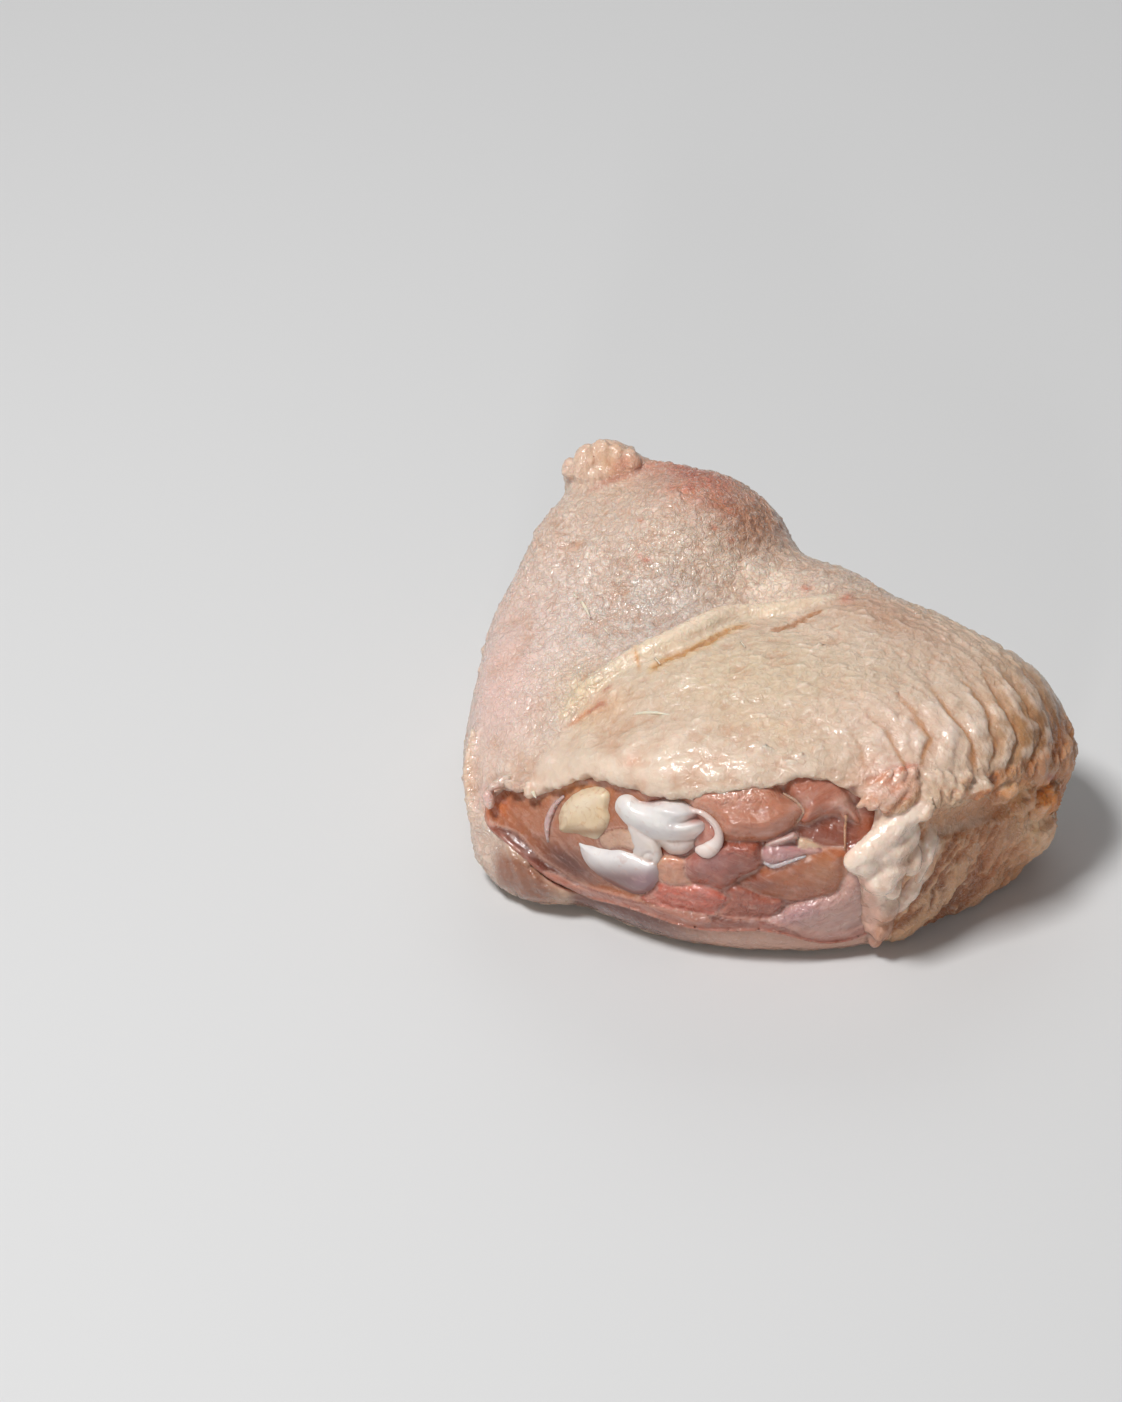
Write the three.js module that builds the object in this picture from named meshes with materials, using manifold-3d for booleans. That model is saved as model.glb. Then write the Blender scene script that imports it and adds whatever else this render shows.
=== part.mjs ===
// A raw, bone-in, skin-on chicken thigh lying skin side up, in millimetres, +Z up.
// +X runs along its length, +Y goes away from the cut side, and z = 0 is the plane it rests on.
// Pieces: skin (an open sheet of skin and fat), meat (the muscle it wraps), femur (the bone with
// its two white knee condyles) and knee_pad (the pale pad of cartilage beside them).
import * as THREE from "three";
import { mergeVertices } from "three/addons/utils/BufferGeometryUtils.js";
import Module from "manifold-3d";

// ---- driving dimensions, mm ----
const SKIN = 2.4; // skin with its fat, all over
const GAP = 0.34; // clear space between touching pieces
const FLOOR_ROUND = 3; // how softly the underside turns up from the flat
const MEAT_SET_BACK = 3.6; // muscle behind the cut opening, under the skin's edge
const BUNDLE_PROUD = 0.9; // the muscle bundles stay this far inside the outer hull
const VIEW_TILT = 38; // the opening faces this many degrees above level, deg
const VIEW_FAR = 850; // distance from which the opening's outline is drawn
const VIEW_SCALE = 4590; // outline units for each radian
const VIEW_MID = [561, 701]; // middle of the outline's own grid
const VIEW_AT = [-38, 6, 20]; // the point that the middle of that grid lies on
const CENTRE = [-0.645, 3.478]; // x and y of the origin in the modelling frame
const SIZE = 0.95; // the modelling frame's millimetres to real ones
const HULL_FROM = [-6, 2, 20]; // the hull's surface is found outwards from here
const OUTER_DETAIL = 11;
const INNER_DETAIL = 6;

// soft masses of the hull: centre, half sizes, turn about x, y, z in degrees, squareness
const BODY = [[6, -15, 16.5], [45.5, 31, 28], [0, 0, 0], 2.5];
const BODY_ADD = [
  [[34.5, -8.6, 20], [19.8, 18.2, 19.3], [0, 0, 0], 8], // dome at the right end
  [[-32.5, -7.2, 12], [22.7, 24, 18.5], [0, 0, -10], 9], // left front
  [[17, 3, 22], [26, 18, 21], [0, 0, -38], 8], // back ridge
  [[9, 16, 24], [14, 14, 17], [0, 0, -38], 8],
  [[-43, -23, 8], [11, 9.5, 8.5], [0, 0, -35], 6], // lower left lobe
];
const END_FACE = { at: [22, -43, 8], normal: [0.6, -0.8, -0.1], round: 9 };
const HILL = [[-14.5, 28, 20], [23, 25.5, 32.4], [0, 0, -30]];
const HILL_ADD = [
  [[-31, 17, 14], [21.3, 34, 24], [0, 0, -18], 14],
  [[-33.5, 34, 22], [9.5, 16, 20], [0, 0, -24], 10],
];
const KNOB = [[-30, 45, 43.5], [5.6, 6, 7], [0, 20, 0]]; // gathered end of the skin
const KNOB_BULB = [[-35.2, 45.8, 42.5], 2.0];
const KNOB_NECK = [[-28, 45, 43.5], [-18, 41.5, 43], 4.6];

// curves on the skin: x, y, z and radius or height at each control point
const FOLD = [[-37, -16.2, 30.7, 0.9], [-31.5, -10.8, 34.6, 1.5], [-25.2, -4.4, 37.6, 2.0], [-17.5, -0.2, 39.9, 2.4], [-9, 4.4, 41.1, 2.5], [0, 6.1, 41.8, 2.3], [10, 6.2, 43.2, 1.8], [18, 8, 42.6, 0.6]];
const CREASE = [[-26.5, -8.0, 37.2, 0.5], [-19, -4.2, 40.1, 1.3], [-11.5, 0.2, 42.2, 1.4], [-5.2, 2.0, 43.0, 0.4]];
const BROW = [[-47, -17, 19.5, 0.6], [-40, -23, 25.5, 1.5], [-31, -29, 32, 1.9], [-22, -33.5, 35, 1.8], [-13, -36, 36, 1.8], [-3, -37, 37, 1.6], [7, -37.5, 37, 0.8]];
const VALLEY = [[-38, -15, 31.5, 0.5], [-30, -20, 35, 1.5], [-20, -22, 38.5, 1.6], [-9, -24, 40.5, 1.3], [3, -26, 42, 0.5]];
const RIM = [[14, -38.5, 34, 0.8], [22, -38.5, 33.2, 1.6], [30.5, -34.8, 33, 1.9], [39.5, -28.8, 30.5, 1.9], [47.5, -21, 25.8, 1.6], [52, -13, 21.5, 1.0]];
const UNDER_RIM = [[22, -41, 29, 0.5], [30, -37, 27, 1.8], [39, -31, 25.5, 2.2], [48, -23, 22, 2.0], [53.5, -13, 18.6, 1.5]];
const FAT_EDGE = [[18.9, -39.8, 32, 2.4], [18.6, -42, 27, 2.9], [17.8, -43.2, 20.5, 3.4], [17.4, -43, 13.5, 3.2], [17.6, -41.6, 7, 2.7]];
const FAT_LUMPS = 0.16; // how far its radius swells and shrinks along it
const FLAP = [[-54.4, -9, 21, 1.3], [-54.5, -14, 15.7, 1.8], [-52.6, -19, 11.6, 1.8], [-51, -21.4, 9.6, 1.5]];

// outline of the cut opening, on the view's own grid
const OPENING = [[489, 806], [508, 790], [533, 797], [565, 784], [604, 781], [650, 796], [720, 796], [775, 786], [803, 778], [842, 789], [884, 809], [863, 842], [849, 863], [866, 892], [871, 921], [828, 935], [767, 923], [698, 921], [628, 899], [558, 880], [510, 842], [490, 824]];
// muscle bundles in the opening: place on the grid, depth, half sizes, turn in the view
const BUNDLES = [
  [749, 815, 41.2, [10.2, 5.4, 4.6], 3],
  [817, 797, 40.4, [7.6, 4.0, 4.4], -24],
  [838, 836, 37.8, [9.5, 5.0, 5.0], 8],
  [786, 855, 40.0, [5.6, 2.6, 3.0], 6],
  [792, 876, 37.6, [11.2, 4.7, 5.0], 8],
  [722, 866, 37.2, [7.8, 4.8, 5.0], 10],
  [747, 901, 34.6, [6.6, 3.4, 4.2], -12],
  [688, 900, 31.8, [8.6, 3.6, 4.6], -8],
  [824, 908, 32.4, [11, 4.4, 5.0], 24],
  [540, 830, 18.8, [12.5, 7.0, 7.0], -38],
  [590, 872, 24.0, [13, 5.4, 6.6], -30],
];
const CONDYLES = [
  [664, 819, 38.7, [8.4, 3.6, 4.2], -20],
  [650, 811, 37.0, [5.6, 3.6, 4.2], -10],
  [617, 860, 31.0, [8.2, 4.4, 4.8], -24],
];
const CONDYLE_NOTCH = [700, 829, 43.5, [3.6, 1.3, 2.6], -28];
const SHAFT = [[-24, -33, 21, 5.0], [-16, -27, 21, 4.2], [-4, -17, 21.5, 3.6], [10, -7, 22, 3.7], [22, 1, 22.5, 4.8], [27, 4, 23, 5.4]];
const PAD = [587, 812, 30.6, [5.8, 4.8, 3.8], -6];
// bare meat on the underside
const UNDERSIDE = { at: [0, -1], half: [28, 17], turn: -14, waves: [[3, 0.06, 1.0], [5, 0.035, 0.3]], points: 24, top: 7 };

const rad = THREE.MathUtils.degToRad;
const V3 = (a) => new THREE.Vector3(a[0], a[1], a[2]);

// ---- fields: each gives a distance-like value, negative inside ----
function turned(turn) {
  const [x, y, z] = turn.map(rad);
  return new THREE.Matrix3().setFromMatrix4(
    new THREE.Matrix4().makeRotationFromEuler(new THREE.Euler(x, y, z, "ZYX")),
  );
}
function ellipsoid(c, r, turn = [0, 0, 0], n = 2) {
  const e = turned(turn).transpose().elements;
  return (x, y, z) => {
    const a = x - c[0], b = y - c[1], d = z - c[2];
    const q = [
      (e[0] * a + e[3] * b + e[6] * d) / r[0],
      (e[1] * a + e[4] * b + e[7] * d) / r[1],
      (e[2] * a + e[5] * b + e[8] * d) / r[2],
    ];
    if (n === 2) {
      const k0 = Math.hypot(q[0], q[1], q[2]);
      const k1 = Math.hypot(q[0] / r[0], q[1] / r[1], q[2] / r[2]) + 1e-9;
      return (k0 * (k0 - 1)) / k1;
    }
    const p = q.map((v) => Math.abs(v) + 1e-6);
    const s = p.reduce((t, v) => t + v ** n, 0);
    const g = p.map((v, i) => (s ** (1 / n - 1) * v ** (n - 1)) / r[i]);
    return (s ** (1 / n) - 1) / (Math.hypot(...g) + 1e-9);
  };
}
const smin = (a, b, k) => {
  const h = Math.max(k - Math.abs(a - b), 0) / k;
  return Math.min(a, b) - h * h * k * 0.25;
};
const smax = (a, b, k) => -smin(-a, -b, k);
function along(points) {
  // nearest place on the curve: distance to it and the fourth value there
  const curve = new THREE.CatmullRomCurve3(points.map(V3), false, "centripetal");
  const steps = (points.length - 1) * 2, at = [];
  for (let i = 0; i <= steps; i++) {
    const u = (i / steps) * (points.length - 1), k = Math.min(Math.floor(u), points.length - 2);
    at.push([curve.getPoint(i / steps), points[k][3] + (points[k + 1][3] - points[k][3]) * (u - k)]);
  }
  return (x, y, z, give) => {
    let best = -1e9;
    for (let i = 0; i < steps; i++) {
      const [a, ra] = at[i], [b, rb] = at[i + 1];
      const dx = b.x - a.x, dy = b.y - a.y, dz = b.z - a.z;
      let t = ((x - a.x) * dx + (y - a.y) * dy + (z - a.z) * dz) / (dx * dx + dy * dy + dz * dz);
      t = Math.min(Math.max(t, 0), 1);
      best = Math.max(best, give(Math.hypot(x - a.x - t * dx, y - a.y - t * dy, z - a.z - t * dz), ra + (rb - ra) * t));
    }
    return best;
  };
}
const ridge = (line, s) => (x, y, z) => line(x, y, z, (d, h) => h * Math.exp(-(d * d) / (s * s)));

const body = ellipsoid(...BODY);
const bodyAdd = BODY_ADD.map(([c, r, t, k]) => [ellipsoid(c, r, t), k]);
const hill = ellipsoid(...HILL);
const hillAdd = HILL_ADD.map(([c, r, t, k]) => [ellipsoid(c, r, t), k]);
const knob = ellipsoid(...KNOB);
const endN = V3(END_FACE.normal).normalize();
const neckA = V3(KNOB_NECK[0]), neckB = V3(KNOB_NECK[1]);
function hull(x, y, z) {
  let b = body(x, y, z);
  for (const [f, k] of bodyAdd) b = smin(b, f(x, y, z), k);
  const face = (x - END_FACE.at[0]) * endN.x + (y - END_FACE.at[1]) * endN.y + (z - END_FACE.at[2]) * endN.z;
  b = smax(b, face, END_FACE.round);
  let a = hill(x, y, z);
  for (const [f, k] of hillAdd) a = smin(a, f(x, y, z), k);
  let d = smin(b, a, 9);
  let k = knob(x, y, z);
  k = smin(k, Math.hypot(x - KNOB_BULB[0][0], y - KNOB_BULB[0][1], z - KNOB_BULB[0][2]) - KNOB_BULB[1], 2.5);
  const p = new THREE.Vector3(x, y, z), ab = neckB.clone().sub(neckA);
  const t = Math.min(Math.max(p.clone().sub(neckA).dot(ab) / ab.lengthSq(), 0), 1);
  k = smin(k, p.distanceTo(neckA.clone().addScaledVector(ab, t)) - KNOB_NECK[2], 4);
  return smin(d, k, 4);
}
const brow = ridge(along(BROW), 4.6), valley = ridge(along(VALLEY), 5);
const rim = ridge(along(RIM), 4.5), underRim = ridge(along(UNDER_RIM), 3.6);
const onFloor = (d, z, floor) => smax(d, floor - z, FLOOR_ROUND);
const outer = (x, y, z) =>
  onFloor(
    hull(x, y, z) - brow(x, y, z) + 0.9 * valley(x, y, z) - 0.8 * rim(x, y, z) + 1.1 * underRim(x, y, z),
    z,
    -0.5,
  );
const inner = (x, y, z) => onFloor(hull(x, y, z) + SKIN, z, 2.2);

// ---- the view that the opening's outline is drawn in ----
const toView = new THREE.Vector3(0, -Math.cos(rad(VIEW_TILT)), Math.sin(rad(VIEW_TILT)));
const viewUp = new THREE.Vector3(0, Math.sin(rad(VIEW_TILT)), Math.cos(rad(VIEW_TILT)));
const viewRight = new THREE.Vector3(1, 0, 0);
function seen(gx, gy, w) {
  const s = (VIEW_FAR - w) / VIEW_SCALE;
  return V3(VIEW_AT)
    .addScaledVector(viewRight, (gx - VIEW_MID[0]) * s)
    .addScaledVector(viewUp, (VIEW_MID[1] - gy) * s)
    .addScaledVector(toView, w);
}
function onGrid(p) {
  const q = p.clone().sub(V3(VIEW_AT)), w = q.dot(toView), s = (VIEW_FAR - w) / VIEW_SCALE;
  return [VIEW_MID[0] + q.dot(viewRight) / s, VIEW_MID[1] - q.dot(viewUp) / s, w, s];
}
const outline = new THREE.CatmullRomCurve3(
  OPENING.map(([x, y]) => new THREE.Vector3(x, y, 0)), true, "catmullrom", 0.5,
).getPoints(30).slice(0, -1);
function toOutline(gx, gy) {
  // signed distance on the grid, negative inside the opening
  let d = 1e9, inside = false;
  outline.forEach((a, i) => {
    const b = outline[(i + 1) % outline.length];
    const ex = b.x - a.x, ey = b.y - a.y;
    const t = Math.min(Math.max(((gx - a.x) * ex + (gy - a.y) * ey) / (ex * ex + ey * ey), 0), 1);
    d = Math.min(d, Math.hypot(gx - a.x - t * ex, gy - a.y - t * ey));
    if (a.y > gy !== b.y > gy && gx < a.x + ((gy - a.y) / ey) * ex) inside = !inside;
  });
  return inside ? -d : d;
}
const backOfCut = (gx, gy) =>
  31 - 0.000308 * Math.max(0, 750 - gx) ** 2 - 0.05 * Math.max(0, gy - 860);
const meatHull = (x, y, z) => {
  const [gx, gy, w, s] = onGrid(new THREE.Vector3(x, y, z));
  const t = Math.min(Math.max((2 - toOutline(gx, gy) * s) / 5, 0), 1);
  const front = Math.min(Math.max(w / 12, 0), 1);
  return onFloor(hull(x, y, z) + SKIN + MEAT_SET_BACK * t * t * (3 - 2 * t) * front, z, 2.2);
};

// ---- solids ----
const wasm = await Module();
wasm.setup();
function solid(geometry) {
  geometry.deleteAttribute("normal");
  geometry.deleteAttribute("uv");
  const g = mergeVertices(geometry, 1e-4);
  const made = new wasm.Manifold(
    new wasm.Mesh({
      numProp: 3,
      vertProperties: new Float32Array(g.attributes.position.array),
      triVerts: new Uint32Array(g.index.array),
    }),
  );
  return made;
}
function moved(geometry, f) {
  const p = geometry.attributes.position;
  for (let i = 0; i < p.count; i++) {
    const v = f(new THREE.Vector3().fromBufferAttribute(p, i));
    p.setXYZ(i, v.x, v.y, v.z);
  }
  return geometry;
}
// the surface of a field, found along rays from one point inside
function surfaceOf(field, detail) {
  const from = V3(HULL_FROM);
  const ball = mergeVertices(new THREE.IcosahedronGeometry(1, detail).deleteAttribute("normal").deleteAttribute("uv"), 1e-5);
  return solid(
    moved(ball, (v) => {
      const dir = v.multiply(new THREE.Vector3(1.54, 1.38, 1)).normalize();
      const at = (t) => field(from.x + dir.x * t, from.y + dir.y * t, from.z + dir.z * t);
      let t = 80, step = 1.2;
      while (t > 3 && at(t) > 0) t -= Math.max(0.35 * Math.min(at(t), 20), 0.3);
      let lo = t, hi = t + step * 3;
      for (let i = 0; i < 24; i++) {
        const m = (lo + hi) / 2;
        if (at(m) > 0) hi = m;
        else lo = m;
      }
      return from.clone().addScaledVector(dir, lo);
    }),
  );
}
// a tapered roll along a curve: a capsule whose length follows the curve
function roll(points, sides = 7, each = 3, swell = () => 1) {
  const curve = new THREE.CatmullRomCurve3(points.map(V3), false, "centripetal");
  const steps = (points.length - 1) * each;
  const frames = curve.computeFrenetFrames(steps, false);
  return solid(
    moved(new THREE.CapsuleGeometry(1, steps, 2, sides, steps), (v) => {
      const s = (v.y + steps / 2) / steps, u = Math.min(Math.max(s, 0), 1);
      const k = Math.round(u * steps), n = frames.normals[k], t = frames.tangents[k];
      const w = u * (points.length - 1), j = Math.min(Math.floor(w), points.length - 2);
      const r = (points[j][3] + (points[j + 1][3] - points[j][3]) * (w - j)) * swell(k);
      return curve
        .getPointAt(u)
        .addScaledVector(n, v.x * r)
        .addScaledVector(n.clone().cross(t), v.z * r)
        .addScaledVector(t, (s - u) * steps * r);
    }),
  );
}
// an ellipsoid placed on the view's grid
function bean(gx, gy, w, r, turn, grow = 0, wide = 9, high = 6) {
  const c = seen(gx, gy, w), a = rad(turn);
  const u = viewRight.clone().multiplyScalar(Math.cos(a)).addScaledVector(viewUp, Math.sin(a));
  const v = viewRight.clone().multiplyScalar(-Math.sin(a)).addScaledVector(viewUp, Math.cos(a));
  return solid(
    moved(new THREE.SphereGeometry(1, wide, high).rotateZ(Math.PI / 2), (p) =>
      c.clone()
        .addScaledVector(u, p.x * (r[0] + grow))
        .addScaledVector(v, p.y * (r[1] + grow))
        .addScaledVector(toView, p.z * (r[2] + grow)),
    ),
  );
}
function ball(c, r) {
  return solid(new THREE.IcosahedronGeometry(r, 1).translate(c[0], c[1], c[2]));
}
// the space that the opening takes out, smaller by inset
function opening(inset) {
  const side = THREE.ShapeUtils.area(outline) > 0 ? -1 : 1;
  const pts = outline.map((p, i) => {
    const a = outline[(i + outline.length - 1) % outline.length], b = outline[(i + 1) % outline.length];
    const n = new THREE.Vector2(b.y - a.y, a.x - b.x).normalize().multiplyScalar((side * inset) / 0.176);
    return new THREE.Vector2(p.x + n.x, p.y + n.y);
  });
  const block = new THREE.ExtrudeGeometry(new THREE.Shape(pts), { depth: 1, bevelEnabled: false, steps: 1 });
  return solid(
    moved(block, (v) => seen(v.x, v.y, v.z < 0.5 ? 62 : backOfCut(v.x, v.y) + 5 * inset)),
  );
}
function plug(grow, low, high) {
  const pts = [];
  for (let i = 0; i < UNDERSIDE.points; i++) {
    const a = (i / UNDERSIDE.points) * Math.PI * 2;
    const k = 1 + UNDERSIDE.waves.reduce((t, [n, h, p]) => t + h * Math.sin(n * a + p), 0);
    pts.push(new THREE.Vector2(Math.cos(a) * (UNDERSIDE.half[0] * k + grow), Math.sin(a) * (UNDERSIDE.half[1] * k + grow)));
  }
  return solid(
    new THREE.ExtrudeGeometry(new THREE.Shape(pts), { depth: high - low, bevelEnabled: false, steps: 1 })
      .rotateZ(rad(UNDERSIDE.turn))
      .translate(UNDERSIDE.at[0], UNDERSIDE.at[1], low),
  );
}
const under = solid(new THREE.BoxGeometry(300, 300, 60).translate(0, 0, -30));

// skin: hull with its folds, hollowed, opened in front and below
const inside = surfaceOf((x, y, z) => inner(x, y, z) - GAP, INNER_DETAIL);
const filled = surfaceOf(inner, INNER_DETAIL);
let skin = surfaceOf(outer, OUTER_DETAIL).add(roll(FOLD)).subtract(roll(CREASE, 6, 2));
skin = skin.subtract(inside).subtract(opening(0)).subtract(plug(GAP, -5, UNDERSIDE.top + 3));
const fatEdge = (grow) =>
  roll(FAT_EDGE.map(([x, y, z, r]) => [x, y, z, r + grow]), 8, 3, (k) => 1 + FAT_LUMPS * Math.sin(k * 2.1));
const fat = fatEdge(0);
skin = skin.add(fat.subtract(inside)).add(roll(FLAP, 7, 2).subtract(inside)).subtract(under);

// meat: the muscle under the skin, with its bundles bare in the opening
const room = filled.add(opening(GAP));
let bundles = null;
for (const b of BUNDLES) {
  const one = bean(...b);
  bundles = bundles ? bundles.add(one) : one;
}
const cap = surfaceOf((x, y, z) => hull(x, y, z) + BUNDLE_PROUD, INNER_DETAIL);
bundles = bundles.intersect(room).intersect(cap);
let meat = surfaceOf(meatHull, INNER_DETAIL).add(bundles).add(plug(0, -1, UNDERSIDE.top)).subtract(under);

// femur and pad, each with clear space round it
const bone = (grow) => {
  let b = roll(SHAFT.map(([x, y, z, r]) => [x, y, z, r + grow]), 8, 2);
  for (const c of CONDYLES) b = b.add(bean(...c, grow));
  return b.subtract(bean(...CONDYLE_NOTCH, -grow, 10, 7));
};
const femur = bone(0).intersect(room).subtract(fat);
const pad = bean(...PAD, 0).intersect(room).subtract(bone(GAP));
meat = meat.subtract(bone(GAP)).subtract(bean(...PAD, GAP));
meat = meat.subtract(skinGrown());

function skinGrown() {
  // the fat roll and the flap with clear space, so that no bundle touches them
  return fatEdge(GAP)
    .add(roll(FLAP.map(([x, y, z, r]) => [x, y, z, r + GAP]), 7, 2))
    .subtract(filled);
}

function largest(s) {
  return s.decompose().sort((a, b) => b.volume() - a.volume())[0];
}
function mesh(name, s, material) {
  const m = largest(s).getMesh(), n = m.numProp;
  const v = new Float32Array(m.numVert * 3);
  for (let i = 0; i < m.numVert; i++) v.set(m.vertProperties.subarray(i * n, i * n + 3), i * 3);
  const g = new THREE.BufferGeometry()
    .setAttribute("position", new THREE.BufferAttribute(v, 3))
    .setIndex(new THREE.BufferAttribute(m.triVerts, 1));
  const made = new THREE.Mesh(g, new THREE.MeshStandardMaterial(material));
  made.name = name;
  return made;
}

const thigh = new THREE.Group();
thigh.add(
  mesh("skin", skin, { color: 0xe3c0a2, roughness: 0.5, metalness: 0 }),
  mesh("meat", meat, { color: 0xb98470, roughness: 0.35, metalness: 0 }),
  mesh("femur", femur, { color: 0xe9e6ea, roughness: 0.25, metalness: 0 }),
  mesh("knee_pad", pad, { color: 0xdcc6a0, roughness: 0.4, metalness: 0 }),
);
thigh.scale.setScalar(SIZE);
thigh.position.set(-CENTRE[0] * SIZE, -CENTRE[1] * SIZE, 0);

export default thigh;
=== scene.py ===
import math
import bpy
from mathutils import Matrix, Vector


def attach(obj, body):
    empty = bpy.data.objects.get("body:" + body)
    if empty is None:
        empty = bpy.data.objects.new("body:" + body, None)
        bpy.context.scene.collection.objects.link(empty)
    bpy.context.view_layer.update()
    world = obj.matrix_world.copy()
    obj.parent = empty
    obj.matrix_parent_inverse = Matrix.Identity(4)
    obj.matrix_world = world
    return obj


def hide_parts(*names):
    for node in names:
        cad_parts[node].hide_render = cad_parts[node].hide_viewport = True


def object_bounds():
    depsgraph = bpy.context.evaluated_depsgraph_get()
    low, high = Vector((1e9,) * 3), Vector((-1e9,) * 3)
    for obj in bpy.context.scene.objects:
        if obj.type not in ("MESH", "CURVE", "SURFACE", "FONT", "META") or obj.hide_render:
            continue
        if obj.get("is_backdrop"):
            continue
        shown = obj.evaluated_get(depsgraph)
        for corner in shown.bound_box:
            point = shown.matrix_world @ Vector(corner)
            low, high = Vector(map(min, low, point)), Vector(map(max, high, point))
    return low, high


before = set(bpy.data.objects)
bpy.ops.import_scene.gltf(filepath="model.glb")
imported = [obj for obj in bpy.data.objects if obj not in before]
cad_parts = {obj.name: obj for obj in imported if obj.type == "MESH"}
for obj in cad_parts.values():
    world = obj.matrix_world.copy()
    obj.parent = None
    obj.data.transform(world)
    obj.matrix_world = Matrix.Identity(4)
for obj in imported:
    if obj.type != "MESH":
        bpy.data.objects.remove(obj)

from concurrent.futures import ThreadPoolExecutor

import bpy
import numpy as np

CAD_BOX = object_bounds()
F32 = np.float32
A = lambda *v: np.array(v, F32)

# The model is shaped in the same modelling frame as the solids, in millimetres, and put in place with these.
SIZE = 0.95
CENTRE = np.array([-0.645, 3.478, 0.0])


def place(p):
    return (np.asarray(p, float) - CENTRE) * (SIZE / 1000)


# ---------------------------------------------------------------- the photograph's view
W, H, FOCAL, FAR = 1122.0, 1402.0, 4590.0, 850.0
TILT = math.radians(38)
AT = A(-38, 6, 20)
FW = A(0, math.cos(TILT), -math.sin(TILT))
RT = A(1, 0, 0)
UP = A(0, math.sin(TILT), math.cos(TILT))


def grid(P):
    """place on the outline grid, and height towards the viewer, for points in mm"""
    q = P - AT
    w = -(q @ FW)
    s = (FAR - w) / FOCAL
    return W / 2 + (q @ RT) / s, H / 2 - (q @ UP) / s, w, s


def seen(x, y, w):
    s = (FAR - w) / FOCAL
    return AT + (x - W / 2) * s * RT - (y - H / 2) * s * UP - w * FW


# ---------------------------------------------------------------- noise, seeded by numbers
def _hash(i, j, k, seed):
    h = (i.astype(np.uint32) * np.uint32(374761393) + j.astype(np.uint32) * np.uint32(668265263)
         + k.astype(np.uint32) * np.uint32(2147483647 & 0x9E3779B1) + np.uint32(seed * 977 + 12345))
    h ^= h >> np.uint32(15)
    h *= np.uint32(2246822519)
    h ^= h >> np.uint32(13)
    h *= np.uint32(3266489917)
    h ^= h >> np.uint32(16)
    return h


def rand3(i, j, k, seed):
    return (_hash(i, j, k, seed) >> np.uint32(8)).astype(F32) / F32(16777216)


def noise(P, size, seed=0):
    """smooth noise, about -1 to 1, with features of that size in mm (one number or three)"""
    q = P / np.asarray(size, F32) + F32(100.37 + seed * 7.13)
    c = np.floor(q)
    f = (q - c).astype(F32)
    c = c.astype(np.int64)
    u = f * f * f * (f * (f * 6 - 15) + 10)
    out = np.zeros(len(P), F32)
    for dx in (0, 1):
        wx = u[:, 0] if dx else 1 - u[:, 0]
        for dy in (0, 1):
            wy = u[:, 1] if dy else 1 - u[:, 1]
            for dz in (0, 1):
                wz = u[:, 2] if dz else 1 - u[:, 2]
                h = _hash(c[:, 0] + dx, c[:, 1] + dy, c[:, 2] + dz, seed)
                gx = ((h & np.uint32(1023)).astype(F32) / 511.5 - 1)
                gy = (((h >> np.uint32(10)) & np.uint32(1023)).astype(F32) / 511.5 - 1)
                gz = (((h >> np.uint32(20)) & np.uint32(1023)).astype(F32) / 511.5 - 1)
                out += wx * wy * wz * (gx * (f[:, 0] - dx) + gy * (f[:, 1] - dy) + gz * (f[:, 2] - dz))
    return out * 1.6


def fbm(P, size, seed=0, octaves=3, gain=0.5):
    t, a, tot = 0, 1.0, 0.0
    s = np.asarray(size, F32)
    for o in range(octaves):
        t = t + a * noise(P, s, seed + o * 17)
        tot += a
        a *= gain
        s = s / 2.03
    return t / tot


def cells(P, size, seed=0, jitter=0.8):
    """distance to the nearest and second nearest scattered point, and a random number for the nearest"""
    q = P / np.asarray(size, F32) + F32(50.5)
    c = np.floor(q).astype(np.int64)
    f = (q - c).astype(F32)
    d1 = np.full(len(P), 9.0, F32)
    d2 = d1.copy()
    rid = np.zeros(len(P), F32)
    for dx in (-1, 0, 1):
        for dy in (-1, 0, 1):
            for dz in (-1, 0, 1):
                i, j, k = c[:, 0] + dx, c[:, 1] + dy, c[:, 2] + dz
                ox = dx + 0.5 + (rand3(i, j, k, seed) - 0.5) * jitter - f[:, 0]
                oy = dy + 0.5 + (rand3(i, j, k, seed + 1) - 0.5) * jitter - f[:, 1]
                oz = dz + 0.5 + (rand3(i, j, k, seed + 2) - 0.5) * jitter - f[:, 2]
                d = np.sqrt(ox * ox + oy * oy + oz * oz)
                near = d < d1
                d2 = np.where(near, d1, np.minimum(d2, d))
                rid = np.where(near, rand3(i, j, k, seed + 3), rid)
                d1 = np.where(near, d, d1)
    return d1, d2, rid


def step(a, b, x):
    t = np.clip((x - a) / (b - a), 0, 1)
    return t * t * (3 - 2 * t)


# ---------------------------------------------------------------- fields
def turn3(ax, ay, az):
    ax, ay, az = [math.radians(v) for v in (ax, ay, az)]
    cx, sx, cy, sy, cz, sz = math.cos(ax), math.sin(ax), math.cos(ay), math.sin(ay), math.cos(az), math.sin(az)
    rx = np.array([[1, 0, 0], [0, cx, -sx], [0, sx, cx]])
    ry = np.array([[cy, 0, sy], [0, 1, 0], [-sy, 0, cy]])
    rz = np.array([[cz, -sz, 0], [sz, cz, 0], [0, 0, 1]])
    return (rz @ ry @ rx).astype(F32)


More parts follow.
